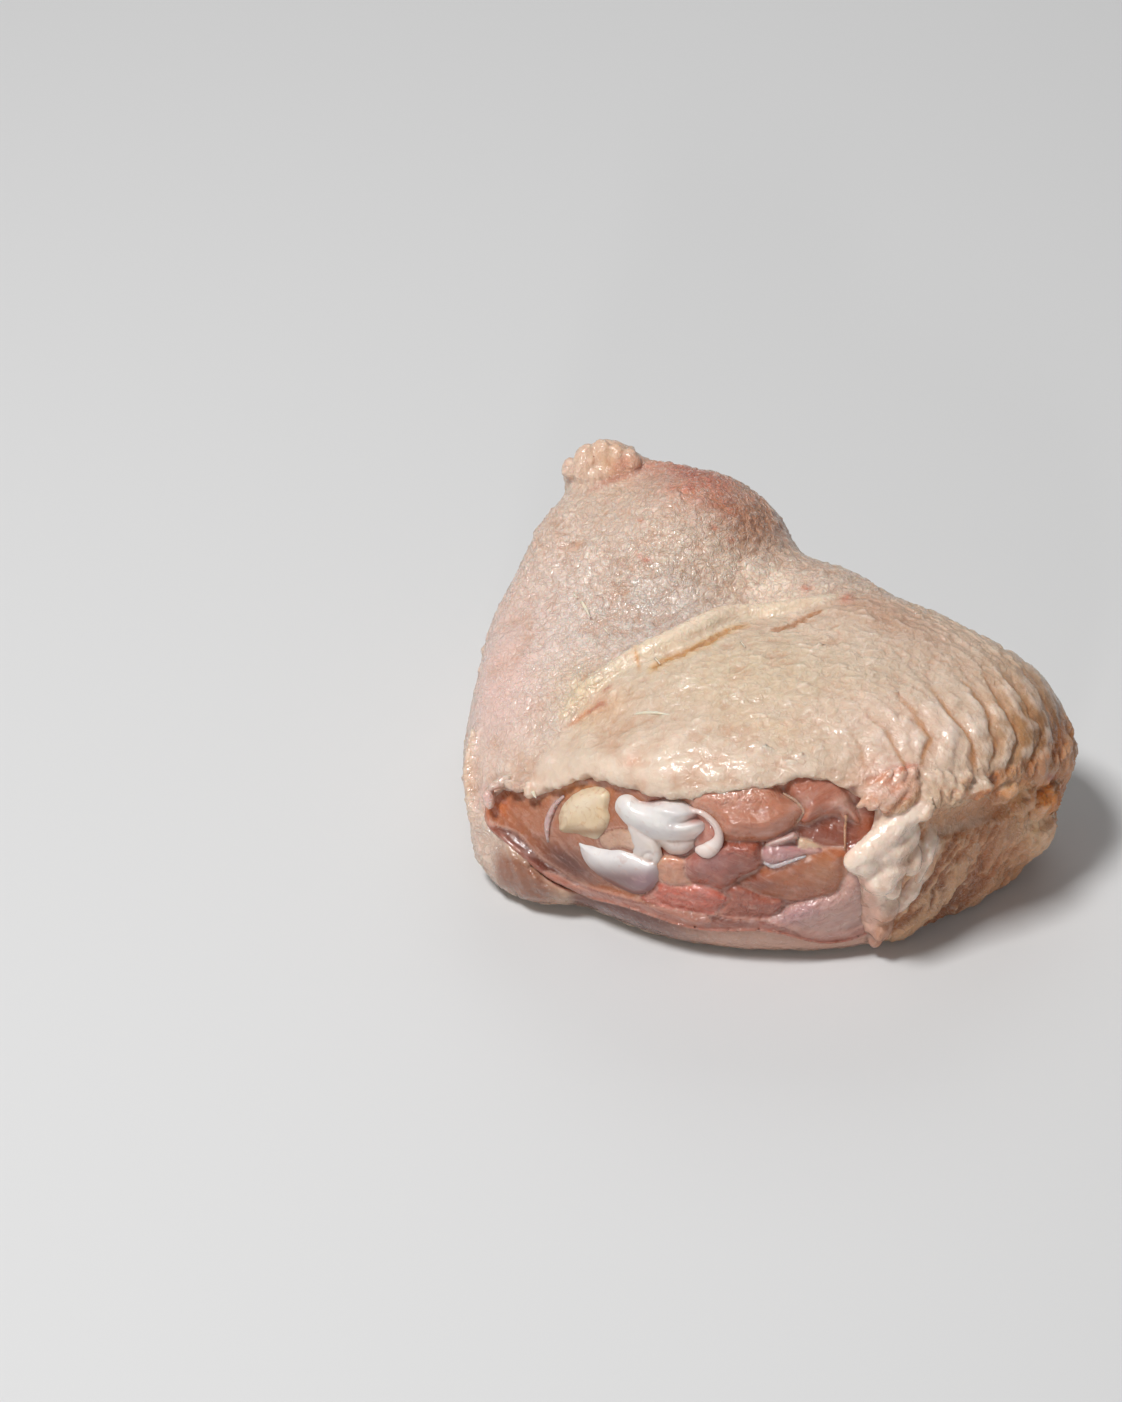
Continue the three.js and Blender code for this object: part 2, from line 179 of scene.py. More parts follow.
def ell(P, c, r, turn=None, n=2.0):
    q = P - A(*c)
    if turn is not None and any(turn):
        q = q @ turn3(*turn)
    r = A(*r)
    if n == 2.0:
        k0 = np.sqrt(((q / r) ** 2).sum(-1))
        k1 = np.sqrt(((q / (r * r)) ** 2).sum(-1)) + 1e-9
        return k0 * (k0 - 1) / k1
    a = np.abs(q) / r + 1e-6
    s = (a ** n).sum(-1)
    g = (s[:, None] ** (1 / n - 1)) * a ** (n - 1) / r
    return (s ** (1 / n) - 1) / (np.sqrt((g * g).sum(-1)) + 1e-9)


def ball(P, c, r):
    return np.sqrt(((P - A(*c)) ** 2).sum(-1)) - r


def cap(P, a, b, ra, rb):
    a, b = np.asarray(a, F32), np.asarray(b, F32)
    ab = b - a
    t = np.clip(((P - a) @ ab) / (ab @ ab), 0, 1)
    return np.sqrt(((P - a - t[:, None] * ab) ** 2).sum(-1)) - (ra + (rb - ra) * t)


def smin(a, b, k):
    h = np.maximum(k - np.abs(a - b), 0) / k
    return np.minimum(a, b) - h * h * k * 0.25


def smax(a, b, k):
    return -smin(-a, -b, k)


def curve(pts, n=3):
    """points on a smooth open curve through pts; columns after the third are values along it"""
    p = np.array(pts, float)
    p = np.vstack([2 * p[0] - p[1], p, 2 * p[-1] - p[-2]])
    o = []
    for i in range(1, len(p) - 2):
        a, b, c, d = p[i - 1], p[i], p[i + 1], p[i + 2]
        for j in range(n):
            t = j / n
            o.append(0.5 * ((2 * b) + (-a + c) * t + (2 * a - 5 * b + 4 * c - d) * t * t + (-a + 3 * b - 3 * c + d) * t ** 3))
    o.append(p[-2])
    return np.array(o, F32)


def near(P, pts, reach, f, far):
    """f where P is within reach of the box round pts, far elsewhere"""
    pts = np.asarray(pts, F32)[:, :3]
    m = ((P > pts.min(0) - reach) & (P < pts.max(0) + reach)).all(-1)
    out = np.full(len(P), far, F32)
    if m.any():
        out[m] = f(P[m])
    return out


def tube(P, crv, far=30.0):
    def f(Q):
        d = None
        for a, b in zip(crv[:-1], crv[1:]):
            e = cap(Q, a[:3], b[:3], a[3], b[3])
            d = e if d is None else np.minimum(d, e)
        return d
    return near(P, crv, 7.0, f, far)


def ridge(P, crv, s):
    def f(Q):
        best = None
        for a, b in zip(crv[:-1], crv[1:]):
            ab = b[:3] - a[:3]
            t = np.clip(((Q - a[:3]) @ ab) / (ab @ ab), 0, 1)
            d2 = ((Q - a[:3] - t[:, None] * ab) ** 2).sum(-1)
            v = (a[3] + (b[3] - a[3]) * t) * np.exp(-d2 / (s * s))
            best = v if best is None else np.maximum(best, v)
        return best
    return near(P, crv, 3 * s, f, 0.0)


def bean(P, x, y, w, r, turn, n=2.0, bend=0.0):
    """a rounded body set in the view: place on the grid, height, half sizes, turn; bend curves its long axis"""
    a = math.radians(turn)
    U = RT * math.cos(a) + UP * math.sin(a)
    V = -RT * math.sin(a) + UP * math.cos(a)
    q = P - seen(x, y, w)
    u, v, t = q @ U, q @ V, -(q @ FW)
    if bend:
        v = v - bend * u * u / r[0]
    return ell(np.stack([u, v, t], -1).astype(F32), (0, 0, 0), r, None, n)


# the hull, its folds and edges: the same sizes as the solids
BROW = curve([(-47, -17, 19.5, 0.6), (-40, -23, 25.5, 1.5), (-31, -29, 32, 1.9), (-22, -33.5, 35, 1.8), (-13, -36, 36, 1.8), (-3, -37, 37, 1.6), (7, -37.5, 37, 0.8)], 2)
VALLEY = curve([(-38, -15, 31.5, 0.5), (-30, -20, 35, 1.5), (-20, -22, 38.5, 1.6), (-9, -24, 40.5, 1.3), (3, -26, 42, 0.5)], 2)
RIM = curve([(14, -38.5, 34, 0.8), (22, -38.5, 33.2, 1.6), (30.5, -34.8, 33, 1.9), (39.5, -28.8, 30.5, 1.9), (47.5, -21, 25.8, 1.6), (52, -13, 21.5, 1.0)], 2)
UNDER_RIM = curve([(22, -41, 29, 0.5), (30, -37, 27, 1.8), (39, -31, 25.5, 2.0), (46, -25, 22.6, 1.3), (52, -16, 19.2, 0.5)], 2)
FAT_EDGE = curve([(18.9, -39.8, 32, 1.4), (18.4, -42, 27, 1.9), (17.4, -43.0, 20.5, 2.3), (17.2, -42.8, 13.5, 2.3), (17.6, -41.4, 7, 2.0)], 3)
FLAP = curve([(-54.2, -7, 23, 0.3), (-54.7, -10, 19.6, 0.9), (-54.8, -13, 16.6, 1.3), (-53.4, -18, 12.6, 1.4), (-51.4, -22, 9.6, 0.5)], 3)
LEFT = curve([(-37, 36, 41.5, 1.8), (-41, 29.4, 39.8, 1.6), (-43.8, 22.2, 35.9, 1.4), (-48.4, 19.2, 28.8, 2.0), (-49.2, 7.2, 28.6, 2.2), (-51, 1.2, 26.3, 1.2)], 2)
TUCK = curve([(-52, -27, 15, 0.8), (-51.4, -27, 11.4, 1.7), (-49, -31, 7, 1.5)], 2)
OPENING = [(489, 806), (508, 790), (533, 797), (565, 784), (604, 781), (650, 796), (720, 796), (775, 786), (803, 778), (842, 789), (884, 809), (863, 842), (849, 863), (866, 892), (871, 921), (828, 935), (767, 923), (698, 921), (628, 899), (558, 880), (510, 842), (490, 824)]


def hull(P):
    b = ell(P, (6, -15, 16.5), (45.5, 31, 28), None, 2.5)
    b = smin(b, ell(P, (34.5, -8.6, 20), (19.8, 18.2, 19.3)), 8)
    b = smin(b, ell(P, (-32.5, -7.2, 12), (22.7, 24, 18.5), (0, 0, -10)), 9)
    b = smin(b, ell(P, (17, 3, 22), (26, 18, 21), (0, 0, -38)), 8)
    b = smin(b, ell(P, (9, 16, 24), (14, 14, 17), (0, 0, -38)), 8)
    b = smin(b, ell(P, (-43, -23, 8), (11, 9.5, 8.5), (0, 0, -35)), 6)
    n = A(0.6, -0.8, -0.1)
    n /= np.linalg.norm(n)
    b = smax(b, (P - A(22, -43, 8)) @ n, 9)
    a = ell(P, (-14.5, 28, 20), (23, 25.5, 32.4), (0, 0, -30))
    a = smin(a, ell(P, (-31, 17, 14), (21.3, 34, 24), (0, 0, -18)), 14)
    a = smin(a, ell(P, (-33.5, 34, 22), (9.5, 16, 20), (0, 0, -24)), 10)
    d = smin(b, a, 9)
    k = ell(P, (-30, 45, 43.5), (5.6, 6, 7), (0, 20, 0))
    k = smin(k, ball(P, (-35.2, 45.8, 42.5), 2.0), 2.5)
    k = smin(k, cap(P, (-28, 45, 43.5), (-18, 41.5, 43), 4.6, 4.6), 4)
    return smin(d, k, 4)


def dents(P):
    return 1.6 * ridge(P, UNDER_RIM, 3.6) + 0.9 * ridge(P, VALLEY, 5) + ridge(P, TUCK, 5)


def shape(P):
    """the outer surface without its small folds"""
    return hull(P) - ridge(P, BROW, 4.6) - 0.9 * ridge(P, RIM, 4.5) - ridge(P, LEFT, 7) + dents(P)


def rest_on(x, y):
    """height towards the viewer of the outer surface at places of the grid"""
    x, y = np.asarray(x, float), np.asarray(y, float)
    w = np.full(x.size, 70.0)
    for _ in range(90):
        s = (FAR - w) / FOCAL
        P = AT + ((x - W / 2) * s)[:, None] * RT - ((y - H / 2) * s)[:, None] * UP - w[:, None] * FW
        w = w - np.clip(shape(P.astype(F32)), -1, 3) * 0.8
    ok = w > -25
    return np.interp(np.arange(x.size), np.flatnonzero(ok), w[ok])


def laid(pts, n=4):
    """a curve that follows the surface: grid place, how far above the surface, radius"""
    c = curve(pts, n)
    c[:, 2] += rest_on(c[:, 0], c[:, 1])
    q = (FAR - c[:, 2:3]) / FOCAL
    return np.concatenate([AT + (c[:, 0:1] - W / 2) * q * RT - (c[:, 1:2] - H / 2) * q * UP - c[:, 2:3] * FW, c[:, 3:]], 1).astype(F32)


def set_down(items):
    """rounded lumps on the surface: grid place, how far above the surface, half sizes, turn"""
    w = rest_on([i[0] for i in items], [i[1] for i in items])
    return [(i[0], i[1], i[2] + float(v), i[3], i[4] if len(i) > 4 else 0) for i, v in zip(items, w)]


def round_open(pts, n=6):
    p = np.array(pts, float)
    m, o = len(p), []
    for i in range(m):
        a, b, c, d = p[(i - 1) % m], p[i], p[(i + 1) % m], p[(i + 2) % m]
        for j in range(n):
            t = j / n
            o.append(0.5 * ((2 * b) + (-a + c) * t + (2 * a - 5 * b + 4 * c - d) * t * t + (-a + 3 * b - 3 * c + d) * t ** 3))
    return np.array(o)


def outline_field():
    """signed distance to the opening's outline over its grid, negative inside, in grid units"""
    poly = round_open(OPENING)
    gx, gy = np.meshgrid(np.arange(440, 960, 1.5), np.arange(740, 1000, 1.5))
    d = np.full(gx.shape, 1e9)
    ins = np.zeros(gx.shape, bool)
    for i in range(len(poly)):
        (ax, ay), (bx, by) = poly[i], poly[(i + 1) % len(poly)]
        ex, ey = bx - ax, by - ay
        t = np.clip(((gx - ax) * ex + (gy - ay) * ey) / (ex * ex + ey * ey + 1e-12), 0, 1)
        d = np.minimum(d, (gx - ax - ex * t) ** 2 + (gy - ay - ey * t) ** 2)
        c = ((ay <= gy) & (by > gy)) | ((by <= gy) & (ay > gy))
        ins ^= c & (gx < ax + (gy - ay) / (ey if ey else 1e-9) * ex)
    return np.where(ins, -np.sqrt(d), np.sqrt(d)).astype(F32)


OUT_F = outline_field()


def to_outline(x, y):
    u = np.clip((x - 440) / 1.5, 0, OUT_F.shape[1] - 1.001)
    v = np.clip((y - 740) / 1.5, 0, OUT_F.shape[0] - 1.001)
    i, j = v.astype(int), u.astype(int)
    fi, fj = v - i, u - j
    return (OUT_F[i, j] * (1 - fi) * (1 - fj) + OUT_F[i + 1, j] * fi * (1 - fj)
            + OUT_F[i, j + 1] * (1 - fi) * fj + OUT_F[i + 1, j + 1] * fi * fj)


def back_of_cut(x, y):
    return 31 - 0.000308 * np.maximum(0, 750 - x) ** 2 - 0.05 * np.maximum(0, y - 860)


def opening(P):
    x, y, w, s = grid(P)
    return smax(to_outline(x, y) * s, back_of_cut(x, y) - w, 1.0)


# ---------------------------------------------------------------- field to mesh
def spread(f, P, chunk=24000):
    """f over many points, in chunks shared between the processor's cores"""
    if len(P) <= chunk:
        return f(P)
    with ThreadPoolExecutor(4) as pool:
        return np.concatenate(list(pool.map(f, [P[i:i + chunk] for i in range(0, len(P), chunk)])))


def nets(f, lo, hi, h, block=4, slack=1.6):
    """the zero surface of f as a quad mesh: one point for each cell that the surface crosses"""
    lo = np.asarray(lo, F32)
    nb = np.ceil((np.asarray(hi, F32) - lo) / (h * block)).astype(int)
    n = nb * block
    c = [lo[a] + (np.arange(nb[a], dtype=F32) + 0.5) * h * block - h / 2 for a in range(3)]
    C = np.stack(np.meshgrid(*c, indexing="ij"), -1).reshape(-1, 3)
    dc = spread(f, C)
    live = np.abs(dc) < h * block * 0.87 + slack
    D = np.repeat(np.repeat(np.repeat(np.where(dc < 0, -9, 9).astype(F32).reshape(nb), block, 0), block, 1), block, 2)
    o = np.stack(np.meshgrid(*[np.arange(block)] * 3, indexing="ij"), -1).reshape(-1, 3)
    B = np.stack(np.unravel_index(np.flatnonzero(live), nb), -1)
    for k in range(0, len(B), 6000):
        idx = (B[k:k + 6000, None, :] * block + o[None]).reshape(-1, 3)
        D[idx[:, 0], idx[:, 1], idx[:, 2]] = spread(f, lo + idx.astype(F32) * F32(h))
    inside = D < 0
    i8 = inside.astype(np.int8)
    s = sum(i8[a:n[0] - 1 + a, b:n[1] - 1 + b, e:n[2] - 1 + e] for a in (0, 1) for b in (0, 1) for e in (0, 1))
    cell = np.stack(np.nonzero((s > 0) & (s < 8)), -1)
    vid = np.full(s.shape, -1, np.int32)
    vid[cell[:, 0], cell[:, 1], cell[:, 2]] = np.arange(len(cell))
    corner = np.array([(a, b, e) for a in (0, 1) for b in (0, 1) for e in (0, 1)])
    dv = [D[cell[:, 0] + a, cell[:, 1] + b, cell[:, 2] + e] for a, b, e in corner]
    tot, cnt = np.zeros((len(cell), 3), F32), np.zeros(len(cell), F32)
    for i in range(8):
        for j in range(i + 1, 8):
            if np.abs(corner[i] - corner[j]).sum() != 1:
                continue
            m = (dv[i] < 0) != (dv[j] < 0)
            t = dv[i] / np.where(m, dv[i] - dv[j], 1)
            p = corner[i] + t[:, None] * (corner[j] - corner[i])
            tot += np.where(m[:, None], p, 0)
            cnt += m
    V = lo + (cell + tot / cnt[:, None]).astype(F32) * F32(h)
    quads = []
    for ax in range(3):
        u, v = (ax + 1) % 3, (ax + 2) % 3
        sl0, sl1 = [slice(None)] * 3, [slice(None)] * 3
        sl0[ax], sl1[ax] = slice(0, -1), slice(1, None)
        e = np.stack(np.nonzero(inside[tuple(sl0)] != inside[tuple(sl1)]), -1)
        e = e[(e[:, u] > 0) & (e[:, v] > 0) & (e[:, u] < n[u] - 1) & (e[:, v] < n[v] - 1)]
        fl = inside[e[:, 0], e[:, 1], e[:, 2]]
        du, dw = np.eye(3, dtype=int)[u], np.eye(3, dtype=int)[v]
        q = [e - du - dw, e - dw, e, e - du]
        q = np.stack([vid[p[:, 0], p[:, 1], p[:, 2]] for p in q], -1)
        q[~fl] = q[~fl][:, ::-1]
        quads.append(q)
    Q = np.concatenate(quads)
    return V, Q[(Q >= 0).all(-1)]


def settle(f, V, times=2, most=0.25, e=0.12):
    """moves the points onto the surface along its slope, which is measured once from four samples"""
    K = A((1, -1, -1), (-1, -1, 1), (-1, 1, -1), (1, 1, 1))
    v = [spread(f, V + k * e) for k in K]
    g = sum(k[None] * a[:, None] for k, a in zip(K, v)) / (4 * e)
    d = sum(v) / 4
    for i in range(times):
        if i:
            d = spread(f, V)
        mv = d[:, None] * g / np.maximum((g * g).sum(-1, keepdims=True), 0.05)
        ln = np.sqrt((mv * mv).sum(-1, keepdims=True))
        V = (V - mv * np.minimum(1, most / np.maximum(ln, 1e-6))).astype(F32)
    return V


def unit(g):
    return g / np.maximum(np.sqrt((g * g).sum(-1, keepdims=True)), 1e-6)


def normals(V, Q):
    """smooth normals of a quad mesh"""
    fn = np.cross(V[Q[:, 2]] - V[Q[:, 0]], V[Q[:, 3]] - V[Q[:, 1]])
    N = np.zeros_like(V)
    for k in range(4):
        for a in range(3):
            N[:, a] += np.bincount(Q[:, k], fn[:, a], len(V)).astype(F32)
    return unit(N)


def biggest(V, Q):
    """only the largest connected piece"""
    lab = np.arange(len(V))
    while True:
        m = lab[Q].min(-1)
        new = lab.copy()
        for k in range(4):
            np.minimum.at(new, Q[:, k], m)
        new = new[new]
        if (new == lab).all():
            break
        lab = new
    ids, cnt = np.unique(lab, return_counts=True)
    keep = lab == ids[cnt.argmax()]
    idx = np.cumsum(keep) - 1
    return V[keep], idx[Q[keep[Q].all(-1)]]


def linear(c):
    c = np.asarray(c, float) / 255
    return np.where(c <= 0.04045, c / 12.92, ((c + 0.055) / 1.055) ** 2.4).astype(F32)


def make(name, V, Q, color=None, masks=None, keep_faces=None, weight=None):
    """a mesh object in the shared frame, with its colours and masks as point attributes"""
    me = bpy.data.meshes.new(name)
    P = place(V).astype(F32)
    me.vertices.add(len(P))
    me.vertices.foreach_set("co", P.ravel())
    Q = np.asarray(Q)
    me.loops.add(Q.size)
    me.loops.foreach_set("vertex_index", Q.astype(np.int32).ravel())
    me.polygons.add(len(Q))
    me.polygons.foreach_set("loop_start", np.arange(0, Q.size, Q.shape[1], dtype=np.int32))
    me.update(calc_edges=True)
    if color is not None:
        c = me.attributes.new("tone", "FLOAT_COLOR", "POINT")
        c.data.foreach_set("color", np.concatenate([np.clip(color, 0, 1), np.ones((len(V), 1))], 1).astype(F32).ravel())
    for k, v in (masks or {}).items():
        v = np.asarray(v, F32)
        c = me.attributes.new(k, "FLOAT" if v.ndim == 1 else "FLOAT_VECTOR", "POINT")
        c.data.foreach_set("value" if v.ndim == 1 else "vector", v.ravel())
    ob = bpy.data.objects.new(name, me)
    bpy.context.scene.collection.objects.link(ob)
    if keep_faces and 2 * len(Q) > keep_faces:
        g = ob.vertex_groups.new(name="w")
        if weight is not None:
            lv = np.round(np.clip(weight, 0, 1) * 10).astype(int)
            for k in range(1, 11):
                ids = np.flatnonzero(lv == k).tolist()
                if ids:
                    g.add(ids, k / 10, "REPLACE")
        d = ob.modifiers.new("d", "DECIMATE")
        d.ratio = keep_faces / (2 * len(Q))
        if weight is not None:
            d.vertex_group, d.vertex_group_factor = "w", 1.0
            d.invert_vertex_group = True
        bpy.context.view_layer.objects.active = ob
        ob.select_set(True)
        bpy.ops.object.modifier_apply(modifier="d")
        ob.select_set(False)
        ob.vertex_groups.clear()
    ob.data.polygons.foreach_set("use_smooth", np.ones(len(ob.data.polygons), bool))
    return ob


# ---------------------------------------------------------------- the skin
def level(d, z, floor):
    return smax(d, floor - z, 3.0)


def seen2(c):
    s = (FAR - c[:, 2:3]) / FOCAL
    return AT + (c[:, 0:1] - W / 2) * s * RT - (c[:, 1:2] - H / 2) * s * UP - c[:, 2:3] * FW


def lumps(P, items, k):
    d = np.full(len(P), 30.0, F32)
    for it in items:
        c = seen(it[0], it[1], it[2])
        r = it[3] if isinstance(it[3], tuple) else (it[3],) * 3
        m = ((P - c) ** 2).sum(-1) < (max(r) + 3) ** 2
        if m.any():
            d[m] = smin(d[m], bean(P[m], it[0], it[1], it[2], r, it[4] if len(it) > 4 else 0), k)
    return d


FOLD = laid([(566, 716, -1.0, 0.8), (584, 694, -0.9, 1.6), (606, 676, -0.7, 1.9), (628, 663, -0.4, 2.0), (650, 652, 0.0, 2.2), (676, 641, 0.4, 2.3), (702, 628, 0.6, 2.4), (724, 618, 0.4, 2.3), (750, 615, 0.0, 2.1), (776, 612, -0.2, 1.9), (800, 606, -0.6, 1.5), (822, 601, -1.0, 0.9), (840, 598, -1.4, 0.4)], 3)
CREASE = laid([(655, 667, 0.0, 0.2), (668, 660, -0.2, 0.4), (688, 652, -0.4, 0.5), (710, 641, -0.4, 0.5), (727, 631, -0.2, 0.35), (742, 625, 0.0, 0.15)])
CREASE2 = laid([(774, 629, 0.0, 0.2), (788, 627, -0.1, 0.4), (804, 618, -0.1, 0.45), (820, 611, 0.0, 0.2)])
FAT = set_down([
    (910, 817, 0.7, (3.2, 1.5, 1.5), 35), (890, 832, 1.0, (4.2, 2.1, 1.9), 40), (868, 850, 1.0, (3.6, 2.2, 1.9), 38), (853, 862, 0.9, (1.8, 1.7, 1.6), 30),
    (905, 836, 0.6, (2.4, 3.4, 1.6), -12), (889, 850, 1.1, (3.2, 2.6, 1.9), 10), (866, 866, 1.2, (2.4, 1.8, 1.8), 20),
    (911, 860, 0.8, (2.0, 3.0, 2.0), -8), (893, 866, 1.5, (2.4, 2.8, 2.0), -20), (878, 880, 1.9, (3.2, 2.7, 2.4), -25), (893, 887, 1.6, (1.5, 2.2, 1.8), -10),
    (886, 908, 1.3, (2.4, 2.8, 1.9), -15), (882, 925, 1.2, (2.0, 3.0, 1.7), -14), (877, 937, 1.0, (1.3, 2.0, 1.2), -20),
    (922, 866, 0.5, (0.9, 3.4, 1.2), -16), (931, 848, 0.4, (0.8, 2.8, 1.0), -10), (914, 888, 0.6, (1.0, 2.4, 1.1), -24), (904, 902, 0.6, (1.0, 2.2, 1.0), -34),
])
END = set_down([
    (1018, 794, 0.2, (2.4, 3.4, 1.9), -8), (999, 789, 0.2, (2.6, 2.2, 1.7), 20), (978, 789, 0.2, (2.8, 1.7, 1.5), 12),
    (1048, 794, 2.6, (2.2, 3.0, 2.6), 8), (1037, 803, 1.6, (2.4, 2.2, 2.2), 30),
])
TAIL = [(1030, 829, 16.5, (3.8, 4.4, 5.2), -30)]
RAG = set_down([(926, 800, 0.0, (0.8, 3.0, 0.8), -6), (934, 790, 0.0, (0.8, 3.0, 0.8), 10), (943, 784, 0.3, (1.0, 2.6, 1.0), 24), (952, 784, 0.4, (1.2, 2.2, 1.0), 36), (936, 808, 0.0, (1.6, 0.8, 0.7), 30), (948, 797, 0.0, (1.8, 0.7, 0.7), 20), (962, 778, 0.0, (1.7, 0.8, 0.8), 30)])
EAR = [(489, 797, 21.6, (1.2, 2.1, 1.3), 8), (500, 783, 22.8, (2.6, 1.1, 1.2), 28), (515, 786, 24.8, (2.2, 1.2, 1.2), -20), (529, 790, 26.6, (1.0, 1.7, 0.9), 0)]
MEMB = set_down([(868, 800, -0.1, (2.2, 0.8, 0.8), 30), (881, 798, 0.1, (3.0, 1.1, 0.9), 35), (894, 798, 0.1, (3.4, 1.2, 0.9), 48), (907, 797, 0.0, (3.0, 1.1, 0.8), 52), (884, 783, 0.0, (2.4, 0.9, 0.7), 60), (898, 780, 0.0, (2.6, 1.0, 0.7), 66), (911, 780, 0.0, (2.4, 0.8, 0.7), 72)])
KNOB = [(571, 469, -13.0, (1.7, 2.1, 1.9), 0), (586, 465, -11.6, (2.3, 4.0, 2.3), -6), (596, 477, -10.6, (2.6, 1.9, 1.6), 10), (603, 457, -11.2, (2.0, 3.4, 1.9), 4), (617, 459, -11.0, (2.0, 3.0, 1.8), 14), (631, 461, -10.8, (1.9, 2.2, 1.4), 24)]
KNOB_CUT = laid([(588, 489, 0.4, 0.2), (599, 485, 0.4, 0.5), (612, 479, 0.4, 0.6), (626, 475, 0.4, 0.5), (640, 469, 0.4, 0.35), (652, 462, 0.4, 0.2)])
GROOVE = laid([(960, 862, 0.5, 0.3), (942, 882, 0.3, 0.7), (924, 900, 0.3, 0.9), (908, 913, 0.3, 0.8), (898, 924, 0.4, 0.4)])
LIP = laid([(504, 842, 0.4, 0.3), (519, 855, 0.3, 0.7), (532, 867, 0.2, 0.9), (545, 879, 0.2, 0.9), (558, 890, 0.3, 0.5)])
FLAKES = set_down([(821, 646, 0.15, (1.1, 0.8, 0.3), 20), (815, 651, 0.15, (0.9, 0.5, 0.3), -20), (895, 693, 0.15, (1.2, 0.7, 0.3), 20), (800, 756, 0.1, (1.1, 0.7, 0.25), 50), (768, 750, 0.1, (1.2, 0.9, 0.25), -40), (791, 762, 0.1, (1.2, 0.5, 0.25), 0), (566, 498, 0.2, (0.8, 0.6, 0.5), 0)])


def plug(P, grow):
    """outline of the bare meat underneath: distance in mm, negative inside"""
    a = math.radians(-14)
    x, y = P[:, 0], P[:, 1] + 1
    u, v = x * math.cos(a) + y * math.sin(a), -x * math.sin(a) + y * math.cos(a)
    t = np.arctan2(v / 17, u / 28)
    k = 1 + 0.06 * np.sin(3 * t + 1.0) + 0.035 * np.sin(5 * t + 0.3)
    r = np.hypot(u / (28 * k), v / (17 * k))
    return (r - 1) * 20 - grow


def skin_field(P):
    h, dent = hull(P), dents(P)
    out = h - ridge(P, BROW, 4.6) - 0.9 * ridge(P, RIM, 4.5) - ridge(P, LEFT, 7) + dent
    out = smin(out, tube(P, FOLD), 0.9)
    out = smax(out, -tube(P, CREASE), 0.7)
    out = smax(out, -tube(P, CREASE2), 0.6)
    out = smin(out, lumps(P, KNOB, 0.6), 0.5)
    out = smax(out, -tube(P, KNOB_CUT), 0.8)
    out = smin(out, lumps(P, END, 0.6) + 0.2 * noise(P, 1.8, 45), 0.8)
    out = smin(out, lumps(P, RAG, 0.6) + 0.15 * noise(P, 1.4, 47), 1.0)
    out = smin(out, lumps(P, TAIL, 0.6), 3.0)
    out = smin(out, lumps(P, FLAKES, 0.3), 0.3)
    out = smax(out, -tube(P, GROOVE), 0.8)
    out = smax(out, -tube(P, LIP), 0.8)
    out = level(out, P[:, 2], 0.0)
    d = smax(out, -level(h + dent + 2.2, P[:, 2], 2.0), 0.6)
    x, y, w, s = grid(P)
    rag = (noise(P, 3.2, 41) * 0.65 + noise(P, 1.3, 42) * 0.3) * step(905, 880, y)
    cut = -smax(to_outline(x, y) * s + rag, back_of_cut(x, y) - w, 1.0)
    low = step(845, 880, y - 0.1 * (x - 500))
    d = smax(d, cut, 1.3) * (1 - low) + smax(d, cut, 3.4) * low
    d = smax(d, -smax(plug(P, 0.3) + rag, P[:, 2] - 9, 1.0), 1.2)
    fat = tube(P, FAT_EDGE) + 0.4 * noise(P, 4.2, 43)
    d = smin(d, fat, 1.6)
    d = smin(d, lumps(P, FAT, 1.2) + 0.12 * noise(P, 3.0, 44), 1.2)
    d = smin(d, lumps(P, MEMB, 0.5) + 0.12 * noise(P, 1.8, 46), 0.9)
    d = smin(d, lumps(P, EAR, 0.4), 0.6)
    return smin(d, tube(P, FLAP), 1.8)


def blob(x, y, cx, cy, rx, ry, turn=0.0):
    a = math.radians(turn)
    u = (x - cx) * math.cos(a) + (y - cy) * math.sin(a)
    v = -(x - cx) * math.sin(a) + (y - cy) * math.cos(a)
    return np.exp(-((u / rx) ** 2 + (v / ry) ** 2))


def mix(c, tone, m):
    return c + (linear(tone)[None] - c) * np.clip(m, 0, 1)[:, None]


def ridged(P, size, seed, wid=0.3):
    return np.clip(1 - np.abs(noise(P, size, seed)) / wid, 0, 1)


def swirl(P, size, amount, seed):
    return P + amount * np.stack([noise(P, size, seed), noise(P, size, seed + 1), noise(P, size, seed + 2)], -1)


def above_fold(P):
    return step(-2, 2, P[:, 1] - np.interp(P[:, 0], [-60, -37, -25, -17, -9, 0, 18, 60], [-40, -16.2, -4.4, -0.2, 4.4, 6.1, 8, 14]).astype(F32))


# valleys between the pleats on the dome: x on the grid at these heights
PLEAT_Y = [670, 685, 703, 722, 738, 750, 765, 785]
PLEATS = [
    [700, 714, 730, 742, 750, 755, 758, 760], [743, 755, 770, 782, 790, 795, 798, 800], [772, 785, 800, 813, 822, 828, 832, 834],
    [802, 815, 830, 845, 856, 861, 866, 870], [832, 845, 860, 876, 890, 898, 902, 903], [880, 893, 907.7, 922.5, 930.5, 926, 922, 918],
    [917, 930, 945, 959.5, 969.8, 974, 977, 979], [957, 969, 981, 992, 996, 993.5, 990, 986], [983, 994, 1004, 1013, 1015, 1012, 1008, 1004],
    [1001, 1013, 1024, 1035, 1040, 1035, 1030, 1026], [1025, 1035, 1044, 1053, 1056, 1054, 1050, 1046], [1046, 1055, 1062, 1068, 1072, 1072, 1070, 1066], [1070, 1078, 1084, 1089, 1092, 1092, 1090, 1086]]


